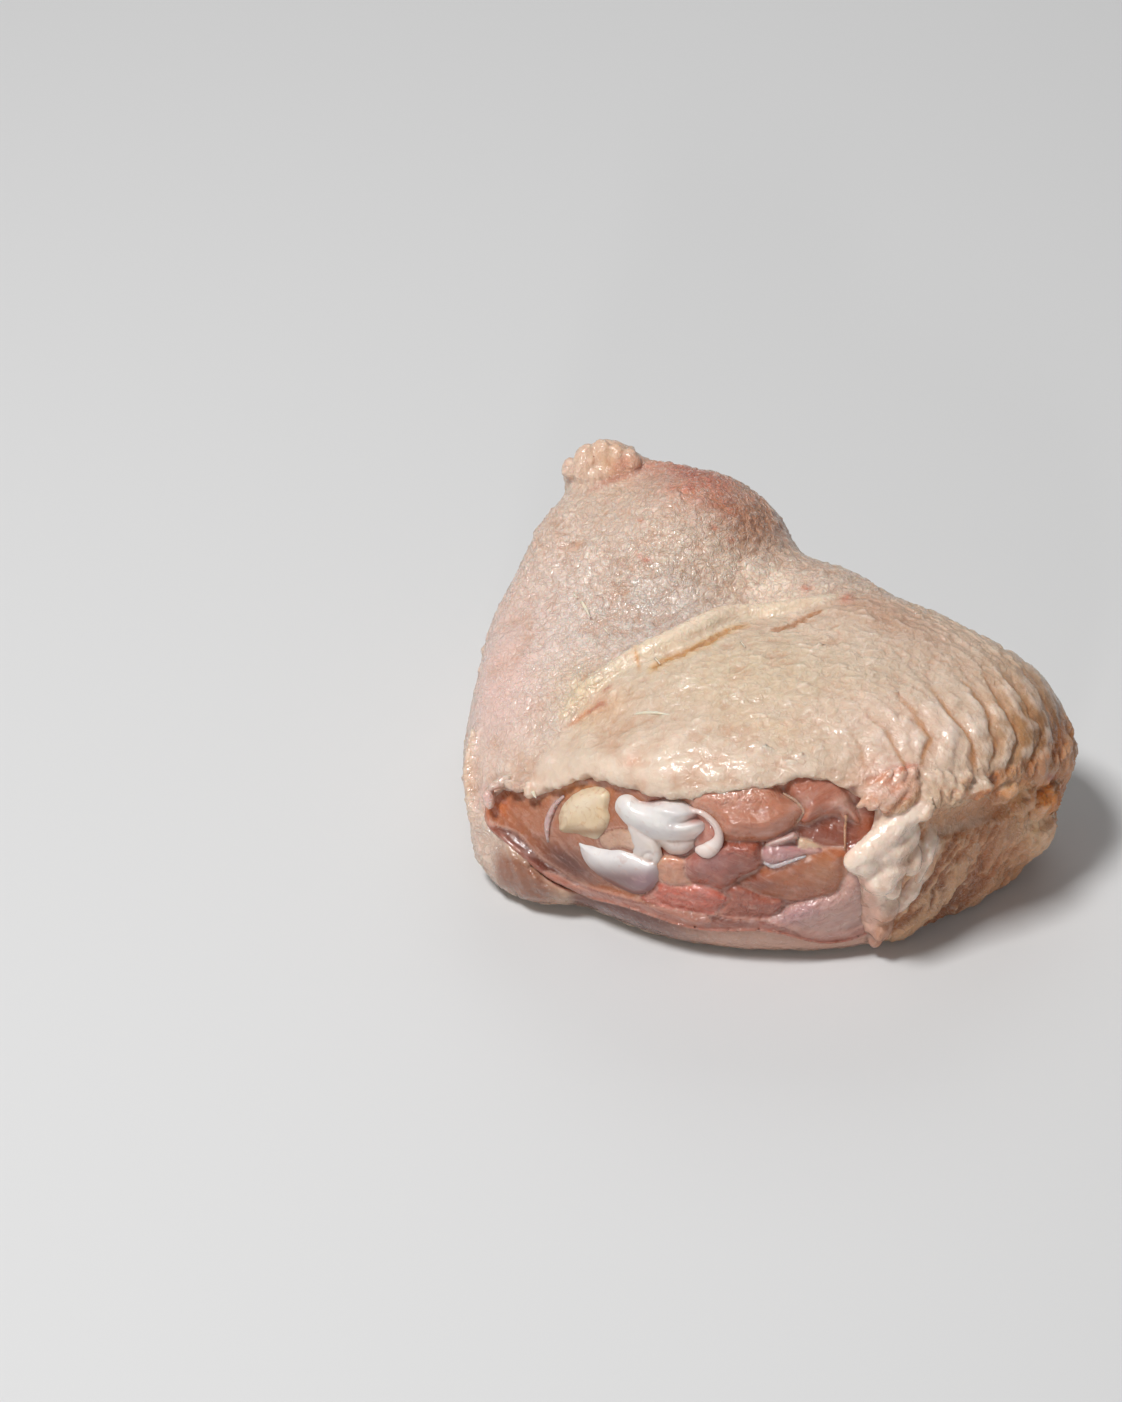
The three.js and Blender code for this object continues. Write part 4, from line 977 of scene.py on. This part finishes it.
def inner(P, gap):
    return level(hull(P) + 2.2 + gap + dents(P), P[:, 2], 2.0 + gap)


def meat_field(P):
    x, y, w, s = grid(P)
    f = to_outline(x, y) * s
    low = step(878, 892, y) * step(560, 600, x)
    win = smax(smax(f - 0.6 - 1.0 * low, back_of_cut(x, y) - 1 - w, 1.0), level(hull(P) - 0.6, P[:, 2], 0.4), 0.5)
    d = np.minimum(inner(P, 0.25), win)
    top = smax(at(MEAT_TOP, x, y), at(TOP, x, y) - 1.2 + 1.1 * low - 3.0 * blob(x, y, 878, 826, 26, 22) + 1.2 * np.minimum(f, 0) + 0.3 * noise(P, 3.0, 190), 0.9) + 3.0 * np.clip(f - 1.2, 0, 9)
    d = np.maximum(d, np.where(w > back_of_cut(x, y) - 6, (w - top) * 0.62, -9))
    base = smax(smax(plug(P, -0.5), P[:, 2] - 6, 1.0), -P[:, 2], 0.8)
    return smin(d, base, 1.0)


def front_region(P):
    """the part of the meat round the cut, which is meshed finely: negative in it"""
    x, y, w, s = grid(P)
    return np.maximum(to_outline(x, y) * s - 6, back_of_cut(x, y) - 7 - w)


def grain_of(x, y, w, s, patches, ids):
    """place along and across the grain of the patch each point is on, in mm"""
    th = np.array([math.radians(p[5]) for p in patches] + [0.3])
    k = ids[np.clip((y - GY + 0.5).astype(int), 0, GYN - 1), np.clip((x - GX + 0.5).astype(int), 0, GXN - 1)]
    a = th[k]
    u = ((x - 700) * np.cos(a) + (y - 850) * np.sin(a)) * 0.178
    v = (-(x - 700) * np.sin(a) + (y - 850) * np.cos(a)) * 0.178
    return np.stack([u, v + 13.0 * k, w], -1).astype(F32), k


def meat_tone(P, N, x, y, face, k, G, gap):
    n1, n2, n3 = fbm(P, 7.0, 171), fbm(P, 3.0, 172), noise(P, 1.1, 173)
    grain = noise(G, A(8.0, 0.9, 0.9), 174)
    c = np.repeat(linear((176, 112, 92))[None], len(P), 0)
    c = mix(c, (194, 128, 110), 0.35 + 0.8 * n1)
    tones = np.array([linear(m[6]) for m in MUSCLES] + [linear((150, 82, 62))])
    c = c + (tones[k] - c) * (0.92 * face)[:, None]
    # partly the muscle's paler top and partly painted highlight, where its glints gather
    c = mix(c, (226, 176, 156), 0.55 * blob(x, y, 728, 797, 34, 9, -6) * face)
    c = mix(c, (186, 120, 96), 0.5 * blob(x, y, 745, 832, 34, 8, 0) * face)
    c = mix(c, (206, 170, 156), 0.5 * blob(x, y, 798, 806, 9, 12, 30) * face)
    c = mix(c, (216, 186, 172), 0.6 * blob(x, y, 848, 808, 16, 10, 35) * face)
    c = mix(c, (150, 76, 48), 0.7 * blob(x, y, 815, 824, 30, 7, -6) * face)
    c = mix(c, (204, 112, 62), 0.6 * blob(x, y, 874, 826, 14, 12, 0) * face)
    c = mix(c, (134, 66, 50), 0.75 * blob(x, y, 753, 881, 20, 9, 20) * face)
    c = mix(c, (200, 142, 104), 0.55 * blob(x, y, 826, 868, 20, 18, 0) * face)
    c = mix(c, (172, 128, 128), 0.55 * blob(x, y, 712, 862, 22, 15, 0) * face)
    c = mix(c, (206, 108, 52), 0.8 * blob(x, y, 496, 806, 14, 14, 0) * face)
    c = mix(c, (216, 140, 78), 0.75 * blob(x, y, 562, 788, 34, 8, 0) * face)
    c = mix(c, (88, 34, 18), 0.92 * blob(x, y, 568, 862, 38, 14, 33) * face)
    c = mix(c, (200, 150, 128), 0.35 * blob(x, y, 540, 826, 30, 5, 38) * face)
    c = mix(c, (212, 176, 166), 0.6 * blob(x, y, 553, 812, 4, 20, 14) * face)
    c = mix(c, (186, 138, 150), 0.5 * blob(x, y, 800, 912, 26, 10, -20) * face)
    c = mix(c, (208, 176, 168), 0.25 * step(0.2, 0.55, n2))
    c = mix(c, (218, 176, 158), 0.20 * step(0.15, 0.55, grain))
    c = mix(c, (140, 74, 56), 0.16 * step(0.15, 0.6, -grain))
    c = mix(c, (236, 196, 178), 0.30 * step(0.10, 0.35, gap) * step(0.9, 0.5, gap) * face)
    # painted shade: darker in the narrow creases where one muscle patch meets the next
    c = mix(c, (126, 54, 38), 0.45 * step(0.45, 0.03, gap) * face)
    return np.clip(c * (1 + 0.05 * n3 + 0.05 * n2)[:, None], 0, 1)


def meat_piece(name, region, h, lo, hi, keep):
    f = lambda P: np.maximum(meat_field(P), region(P))
    V, Q = nets(f, lo, hi, h)
    V, Q = biggest(V, Q)
    V = settle(f, V)
    N = normals(V, Q)
    x, y, w, s = grid(V)
    face = step(-0.1, 0.3, N @ -FW) * step(1.5, -1.0, np.maximum(to_outline(x, y) * s, back_of_cut(x, y) - w))
    G, k = grain_of(x, y, w, s, MUSCLES, MEAT_ID)
    gap = at(MEAT_GAP, x, y)
    wet = np.clip(0.12 + blob(x, y, 680, 899, 44, 15, 10) + blob(x, y, 735, 796, 40, 9, -4) + blob(x, y, 815, 905, 44, 12, -24) + blob(x, y, 745, 905, 30, 12, 0) + 0.8 * blob(x, y, 740, 850, 26, 8, 10) + 0.8 * blob(x, y, 780, 862, 18, 5, -10), 0, 1) * face
    d = face * (0.07 * noise(G, A(9.0, 1.3, 1.3), 181) + 0.12 * noise(V, 3.4, 183) + 0.05 * noise(V, 1.2, 184))
    d += 0.20 * wet * noise(V, 1.5, 185)
    d += face * blob(x, y, 672, 872, 18, 16) * (0.30 * noise(V, 1.7, 186))
    P = (V + N * (d * step(0.3, 0.8, V[:, 2]))[:, None]).astype(F32)
    P[:, 2] = np.maximum(P[:, 2], 0.0)
    c = meat_tone(V, N, x, y, face, k, G, gap)
    fib = np.where(face[:, None] > 0.02, G, V)
    return make(name, P, Q, c, {"grain": fib, "wet": wet}, keep, None)


def patch_field(P, TOPG, ING, deep):
    x, y, w, s = grid(P)
    top = at(TOPG, x, y)
    return np.maximum(np.maximum((w - top) * 0.62, -at(ING, x, y) * s * 0.9 - 0.15), top - deep - w)


def bone_field(P):
    d = patch_field(P, BONE_TOP, BONE_IN, 6.5)
    d = smin(d, tube(P, RING), 0.8)
    return smin(d, cap(P, seen(645, 842, 27), seen(760, 760, 2), 4.6, 3.4), 2.0)


def simple(name, f, h, lo, hi, relief, tone, masks=None):
    V, Q = nets(f, lo, hi, h, slack=1.0)
    V, Q = biggest(V, Q)
    V = settle(f, V)
    N = normals(V, Q)
    x, y, w, s = grid(V)
    r = relief(V, N, x, y)
    P = (V + N * r[:, None]).astype(F32)
    return make(name, P, Q, tone(V, N, x, y, r), masks(V, x, y) if masks else None)


def bone_tone(P, N, x, y, r):
    k = BONE_ID[np.clip((y - GY + 0.5).astype(int), 0, GYN - 1), np.clip((x - GX + 0.5).astype(int), 0, GXN - 1)]
    c = np.array([linear(m[6]) for m in BONES])[k]
    c = mix(c, (214, 204, 206), 0.30 + 0.6 * fbm(P, 3.0, 201))
    c = mix(c, (246, 242, 236), 0.6 * blob(x, y, 636, 808, 20, 10, 30))
    c = mix(c, (120, 70, 66), 0.92 * step(860, 880, y - 0.10 * (x - 620)) * step(670, 650, x))
    c = mix(c, (186, 150, 160), 0.6 * blob(x, y, 646, 880, 16, 10, -20))
    c = mix(c, (214, 150, 134), 0.8 * blob(x, y, 650, 799, 12, 4, 0))
    c = mix(c, (186, 120, 104), 0.85 * blob(x, y, 697, 819, 12, 4.2, -14))
    c = mix(c, (226, 196, 184), 0.6 * blob(x, y, 690, 838, 12, 8, 0))
    c = mix(c, (226, 200, 190), 0.8 * step(0.7, 0.1, tube(P, RING)))
    c = mix(c, (244, 238, 234), 0.7 * blob(x, y, 706, 845, 10, 7, 0))
    c = mix(c, (226, 196, 180), 0.5 * step(0.8, 0.1, at(BONE_GAP, x, y)))
    return c


def pad_tone(P, N, x, y, r):
    c = np.repeat(linear((226, 204, 172))[None], len(P), 0)
    c = mix(c, (214, 184, 146), 0.35 + 0.8 * fbm(P, 3.0, 211))
    c = mix(c, (240, 224, 200), 0.7 * blob(x, y, 582, 802, 20, 10, -20))
    c = mix(c, (168, 124, 92), 0.7 * blob(x, y, 590, 832, 30, 4, 0))
    return c


def strands(name, paths, tones):
    """thin round threads along paths whose fourth column is the radius"""
    V, Q, C, base = [], [], [], 0
    for pth, tone in zip(paths, tones):
        p, r = pth[:, :3].astype(float), pth[:, 3].astype(float)
        n, m = len(p), 8
        t = unit(np.gradient(p, axis=0))
        u = unit(np.cross(t, (0.3, 0.2, 1.0)))
        v = np.cross(t, u)
        a = np.arange(m) * 2 * math.pi / m
        ring = p[:, None] + r[:, None, None] * (np.cos(a)[None, :, None] * u[:, None] + np.sin(a)[None, :, None] * v[:, None])
        V += [ring.reshape(-1, 3), p[:1], p[-1:]]
        i, j = np.meshgrid(np.arange(n - 1), np.arange(m), indexing="ij")
        k = (j + 1) % m
        Q.append(base + np.stack([i * m + j, i * m + k, (i + 1) * m + k, (i + 1) * m + j], -1).reshape(-1, 4))
        e, f = np.arange(0, m, 2), base + n * m
        Q.append(np.stack([base + (e + 2) % m, base + (e + 1) % m, base + e, 0 * e + f], -1))
        g = base + (n - 1) * m
        Q.append(np.stack([g + e, g + (e + 1) % m, g + (e + 2) % m, 0 * e + f + 1], -1))
        C.append(np.repeat(linear(tone)[None], n * m + 2, 0))
        base += n * m + 2
    V, Q, C = np.concatenate(V).astype(F32), np.concatenate(Q), np.concatenate(C)
    return make(name, V, Q, C, {"wet": np.ones(len(V)), "fine": np.full(len(V), 0.04), "grain": V})


def on_meat(pts, n=4):
    c = curve(pts, n)
    c[:, 2] += at(MEAT_TOP, c[:, 0], c[:, 1])
    return np.concatenate([seen2(c), c[:, 3:]], 1).astype(F32)


# ---------------------------------------------------------------- materials
class Net:
    def __init__(self, name):
        self.m = bpy.data.materials.new(name)
        self.m.use_nodes = True
        self.t = self.m.node_tree
        self.n = self.t.nodes
        self.b = self.n["Principled BSDF"]
        self.co = self.n.new("ShaderNodeTexCoord").outputs["Object"]

    def link(self, a, b):
        self.t.links.new(a, b)

    def attr(self, name):
        a = self.n.new("ShaderNodeAttribute")
        a.attribute_name = name
        return a

    def noise(self, mm, detail=3.0, rough=0.55, warp=0.0, co=None, out="Fac"):
        """a noise texture whose features are about that many millimetres across"""
        t = self.n.new("ShaderNodeTexNoise")
        t.inputs["Scale"].default_value = 1000 / mm
        t.inputs["Detail"].default_value = detail
        t.inputs["Roughness"].default_value = rough
        t.inputs["Distortion"].default_value = warp
        self.link(co or self.co, t.inputs["Vector"])
        return t.outputs[out]

    def worm(self, mm, co=None):
        t = self.n.new("ShaderNodeTexVoronoi")
        t.feature = "DISTANCE_TO_EDGE"
        t.inputs["Scale"].default_value = 1000 / mm
        self.link(co or self.co, t.inputs["Vector"])
        return t.outputs["Distance"]

    def math(self, op, a, b=None, c=None, clamp=False):
        m = self.n.new("ShaderNodeMath")
        m.operation = op
        m.use_clamp = clamp
        for i, v in enumerate((a, b, c)):
            if v is None:
                continue
            if isinstance(v, (int, float)):
                m.inputs[i].default_value = v
            else:
                self.link(v, m.inputs[i])
        return m.outputs[0]

    def span(self, v, a, b, lo=0.0, hi=1.0, smooth=True):
        m = self.n.new("ShaderNodeMapRange")
        m.interpolation_type = "SMOOTHSTEP" if smooth else "LINEAR"
        self.link(v, m.inputs["Value"])
        m.inputs["From Min"].default_value = a
        m.inputs["From Max"].default_value = b
        m.inputs["To Min"].default_value = lo
        m.inputs["To Max"].default_value = hi
        return m.outputs["Result"]

    def mix(self, fac, a, b, mode="MIX"):
        m = self.n.new("ShaderNodeMix")
        m.data_type = "RGBA"
        m.blend_type = mode
        for s, v in (("Factor_Float", fac), ("A_Color", a), ("B_Color", b)):
            sock = [i for i in m.inputs if i.identifier == s][0]
            if isinstance(v, tuple):
                sock.default_value = (*[float(q) for q in linear(v)], 1)
            elif isinstance(v, (int, float)):
                sock.default_value = v
            else:
                self.link(v, sock)
        return [o for o in m.outputs if o.identifier == "Result_Color"][0]

    def bump(self, height, strength, dist_mm, under=None):
        b = self.n.new("ShaderNodeBump")
        b.inputs["Strength"].default_value = strength
        b.inputs["Distance"].default_value = dist_mm / 1000
        self.link(height, b.inputs["Height"])
        if under is not None:
            self.link(under, b.inputs["Normal"])
        return b.outputs["Normal"]

    def scaled(self, vec, k):
        m = self.n.new("ShaderNodeVectorMath")
        m.operation = "MULTIPLY"
        self.link(vec, m.inputs[0])
        m.inputs[1].default_value = k
        return m.outputs[0]

    def warped(self, mm, amount_mm):
        """object coordinates pushed about by noise"""
        t = self.n.new("ShaderNodeTexNoise")
        t.inputs["Scale"].default_value = 1000 / mm
        t.inputs["Detail"].default_value = 2.0
        self.link(self.co, t.inputs["Vector"])
        s = self.n.new("ShaderNodeVectorMath")
        s.operation = "MULTIPLY_ADD"
        self.link(t.outputs["Color"], s.inputs[0])
        s.inputs[1].default_value = (amount_mm / 1000,) * 3
        self.link(self.co, s.inputs[2])
        return s.outputs[0]

    def finish(self, color, rough, normal, sss=0.3, radius=(2.4, 1.0, 0.6), coat=0.3, coat_rough=0.14, spec=0.5):
        b = self.b
        self.link(color, b.inputs["Base Color"])
        if isinstance(rough, float):
            b.inputs["Roughness"].default_value = rough
        else:
            self.link(rough, b.inputs["Roughness"])
        b.inputs["Subsurface Weight"].default_value = sss
        b.inputs["Subsurface Radius"].default_value = tuple(r / 1000 for r in radius)
        b.inputs["Subsurface Scale"].default_value = 1.0
        b.inputs["Coat Weight"].default_value = coat
        b.inputs["Coat Roughness"].default_value = coat_rough
        b.inputs["Specular IOR Level"].default_value = spec
        if normal is not None:
            self.link(normal, b.inputs["Normal"])
            self.link(normal, b.inputs["Coat Normal"])
        return self.m


def skin_material():
    k = Net("chicken_skin")
    tone = k.attr("tone").outputs["Color"]
    fine_ = k.attr("fine").outputs["Fac"]
    wet = k.attr("wet").outputs["Fac"]
    co = k.warped(2.6, 2.4)
    line = k.math("ABSOLUTE", k.math("SUBTRACT", k.noise(1.7, 2.0, 0.5, 0.8, co), 0.5))
    line2 = k.math("ABSOLUTE", k.math("SUBTRACT", k.noise(0.95, 2.0, 0.5, 0.6, co), 0.5))
    worm = k.worm(1.5, co)
    fine = k.noise(0.7, 4.0, 0.6, 0.4)
    mid = k.noise(1.8, 3.0, 0.55, 0.6, co)
    fold = k.math("ADD", k.span(line, 0.0, 0.045, 1.0, 0.0), k.math("MULTIPLY", k.span(line2, 0.0, 0.04, 1.0, 0.0), 0.5))
    crease = k.math("MULTIPLY", k.span(worm, 0.0, 0.12, 1.0, 0.0), fine_)
    # partly the skin's ochre creases and partly painted shade: a warm darker colour in the fine wrinkle creases
    col = k.mix(k.math("MULTIPLY", crease, 0.30), tone, (190, 132, 92), "MIX")
    # painted highlight: paler colour along the wrinkle crests
    col = k.mix(k.math("MULTIPLY", k.math("MULTIPLY", fold, fine_), 0.30), col, (248, 236, 226))
    pale = k.span(fine, 0.58, 0.72)
    col = k.mix(k.math("MULTIPLY", pale, 0.18), col, (246, 234, 222))
    warm = k.span(mid, 0.60, 0.74)
    col = k.mix(k.math("MULTIPLY", warm, 0.24), col, (212, 156, 112))
    h = k.math("ADD", k.math("MULTIPLY", fold, 0.55), k.math("MULTIPLY", mid, 0.8))
    h = k.math("ADD", h, k.math("MULTIPLY", k.span(worm, 0.0, 0.22), 0.35))
    n = k.bump(k.math("MULTIPLY", h, fine_), 0.80, 0.40)
    n = k.bump(k.math("MULTIPLY", fine, k.math("MULTIPLY_ADD", fine_, 0.7, 0.3)), 0.5, 0.12, n)
    n = k.bump(k.math("MULTIPLY", k.noise(1.3, 2.0, 0.5, 0.6), wet), 0.8, 0.40, n)
    rough = k.math("SUBTRACT", k.span(k.noise(3.0, 3.0), 0.3, 0.7, 0.30, 0.50), k.math("MULTIPLY", wet, 0.22))
    return k.finish(col, rough, n, 0.35, (2.2, 1.1, 0.7), 0.60, 0.09)


def meat_material():
    k = Net("chicken_meat")
    tone = k.attr("tone").outputs["Color"]
    wet = k.attr("wet").outputs["Fac"]
    g = k.attr("grain").outputs["Vector"]
    long_ = k.noise(1000.0, 3.0, 0.6, 0.3, k.scaled(g, (0.30, 1.7, 1.7)))
    fine = k.noise(1000.0, 3.0, 0.6, 0.2, k.scaled(g, (0.8, 5.0, 5.0)))
    film = k.noise(3.6, 3.0, 0.55, 0.8)
    drops = k.noise(0.9, 2.0, 0.5, 0.5)
    col = k.mix(k.math("MULTIPLY", k.span(long_, 0.52, 0.72), 0.22), tone, (222, 178, 160))
    col = k.mix(k.math("MULTIPLY", k.span(long_, 0.48, 0.30), 0.22), col, (132, 66, 50))
    col = k.mix(k.math("MULTIPLY", k.span(film, 0.58, 0.72), 0.25), col, (204, 170, 166))
    n = k.bump(long_, 0.35, 0.22)
    n = k.bump(fine, 0.25, 0.08, n)
    n = k.bump(k.noise(2.2, 2.0, 0.5, 0.5), 0.35, 0.5, n)
    n = k.bump(k.math("MULTIPLY", drops, wet), 1.0, 0.6, n)
    rough = k.span(film, 0.35, 0.65, 0.22, 0.40)
    return k.finish(col, rough, n, 0.45, (3.2, 1.1, 0.7), 0.9, 0.06)


def bone_material():
    k = Net("cartilage")
    tone = k.attr("tone").outputs["Color"]
    m = k.noise(1.6, 4.0, 0.6, 0.6)
    col = k.mix(k.math("MULTIPLY", k.span(m, 0.55, 0.72), 0.4), tone, (206, 172, 160))
    n = k.bump(m, 0.3, 0.18)
    n = k.bump(k.noise(0.5, 3.0), 0.2, 0.06, n)
    return k.finish(col, 0.28, n, 0.35, (1.8, 1.4, 1.2), 0.6, 0.08)


def pad_material():
    k = Net("fat_pad")
    tone = k.attr("tone").outputs["Color"]
    m = k.noise(1.3, 4.0, 0.6, 0.8)
    col = k.mix(k.math("MULTIPLY", k.span(m, 0.52, 0.70), 0.5), tone, (196, 146, 104))
    n = k.bump(m, 0.6, 0.3)
    return k.finish(col, 0.36, n, 0.35, (2.0, 1.2, 0.7), 0.4, 0.12)


def wear(ob, mat, node):
    ob.data.materials.append(mat)
    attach(ob, "root")
    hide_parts(node)


# ---------------------------------------------------------------- the pieces
SKIN = skin_material()
MEAT = meat_material()
skin = build_skin(0.44)
wear(skin, SKIN, "skin")
front = meat_piece("muscle_front", front_region, 0.34, (-60, -50, -1), (30, 0, 46), 150000)
wear(front, MEAT, "meat")
core = meat_piece("muscle_core", lambda P: -front_region(P) - 0.4, 1.0, (-60, -50, -1), (60, 58, 56), 60000)
wear(core, MEAT, "meat")
quills = strands("quill_stubs", [
    laid([(582, 602, 0.1, 0.34), (586, 609, 0.7, 0.30), (590, 617, 1.1, 0.10)]), laid([(574, 594, 0.0, 0.26), (577, 598, 0.5, 0.10)]),
    laid([(632, 715, -0.25, 0.12), (643, 713, 0.0, 0.30), (657, 713, 0.05, 0.32), (673, 716, -0.25, 0.12)]),
    laid([(655, 658, 0.8, 0.24), (660, 664, 1.2, 0.10)]), laid([(604, 628, 0.0, 0.22), (609, 634, 0.5, 0.09)]), laid([(741, 642, 0.0, 0.20), (745, 647, 0.4, 0.09)]),
    laid([(533, 792, 0.4, 0.45), (536, 798, 0.6, 0.12)])], [(238, 220, 196)] * 7)
wear(quills, SKIN, "skin")
films = strands("fascia_strands", [
    on_meat([(548, 842, 0.0, 0.2), (547, 829, 0.4, 0.5), (549, 817, 0.5, 0.6), (555, 805, 0.4, 0.5), (564, 796, 0.1, 0.3)]),
    on_meat([(846, 816, 0.5, 0.25), (845, 832, 0.7, 0.25), (845, 850, 0.3, 0.2)]),
    on_meat([(764, 862, 0.0, 0.3), (774, 866, 0.3, 0.5), (790, 861, 0.3, 0.4), (806, 856, 0.0, 0.2)]),
    on_meat([(783, 793, 0.1, 0.2), (797, 802, 0.1, 0.35), (803, 812, 0.0, 0.35), (797, 822, 0.0, 0.2)])],
    [(206, 170, 166), (214, 160, 130), (214, 190, 190), (216, 164, 140)])
wear(films, MEAT, "meat")
lo, hi = (-46, -52, 6), (34, 10, 44)
bone = simple("femur_bone", bone_field, 0.3, lo, hi, lambda P, N, x, y: 0.07 * fbm(P, 2.2, 202), bone_tone)
wear(bone, bone_material(), "femur")
pad = simple("knee_pad_fat", lambda P: patch_field(P, PAD_TOP, PAD_IN, 4.5), 0.3, lo, hi, lambda P, N, x, y: 0.16 * fbm(P, 2.6, 212), pad_tone)
wear(pad, pad_material(), "knee_pad")

# ---------------------------------------------------------------- floor, light, camera
me = bpy.data.meshes.new("floor")
me.from_pydata([(-4, -4, -0.0002), (4, -4, -0.0002), (4, 4, -0.0002), (-4, 4, -0.0002)], [], [(0, 1, 2, 3)])
floor = bpy.data.objects.new("floor", me)
bpy.context.scene.collection.objects.link(floor)
fm = bpy.data.materials.new("floor")
fm.use_nodes = True
fm.node_tree.nodes["Principled BSDF"].inputs["Base Color"].default_value = (0.68, 0.68, 0.68, 1)
fm.node_tree.nodes["Principled BSDF"].inputs["Roughness"].default_value = 0.75
floor.data.materials.append(fm)
floor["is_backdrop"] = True


def lamp(name, at, size, watts, tint=(1, 1, 1)):
    from mathutils import Vector
    d = bpy.data.lights.new(name, "AREA")
    d.shape = "RECTANGLE"
    d.size, d.size_y = size
    d.energy = watts
    d.color = tint
    o = bpy.data.objects.new(name, d)
    o.location = at
    o.rotation_euler = (Vector((0, 0, 0.02)) - Vector(at)).to_track_quat("-Z", "Y").to_euler()
    bpy.context.scene.collection.objects.link(o)


lamp("key", (-0.38, -0.22, 0.93), (0.24, 0.22), 8.5)
lamp("fill", (-0.14, -0.96, 0.30), (0.10, 0.08), 1.3)
lamp("back", (0.1, 0.7, 0.6), (0.6, 0.4), 1.2)
wd = bpy.data.worlds.new("soft")
wd.use_nodes = True
wd.node_tree.nodes["Background"].inputs["Color"].default_value = (1, 1, 1, 1)
wd.node_tree.nodes["Background"].inputs["Strength"].default_value = 0.15
bpy.context.scene.world = wd
bpy.context.scene.view_settings.view_transform = "Standard"

cam = bpy.data.cameras.new("camera")
cam.sensor_width = 36
cam.lens = FOCAL / H * 36
co = bpy.data.objects.new("camera", cam)
co.location = place(AT - FAR * FW)
co.rotation_euler = (math.pi / 2 - TILT, 0, 0)
bpy.context.scene.collection.objects.link(co)
bpy.context.scene.camera = co

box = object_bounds()
flat = lambda b: [[float(v) for v in p] for p in b]
{"cad": flat(CAD_BOX), "visual": flat(box)}
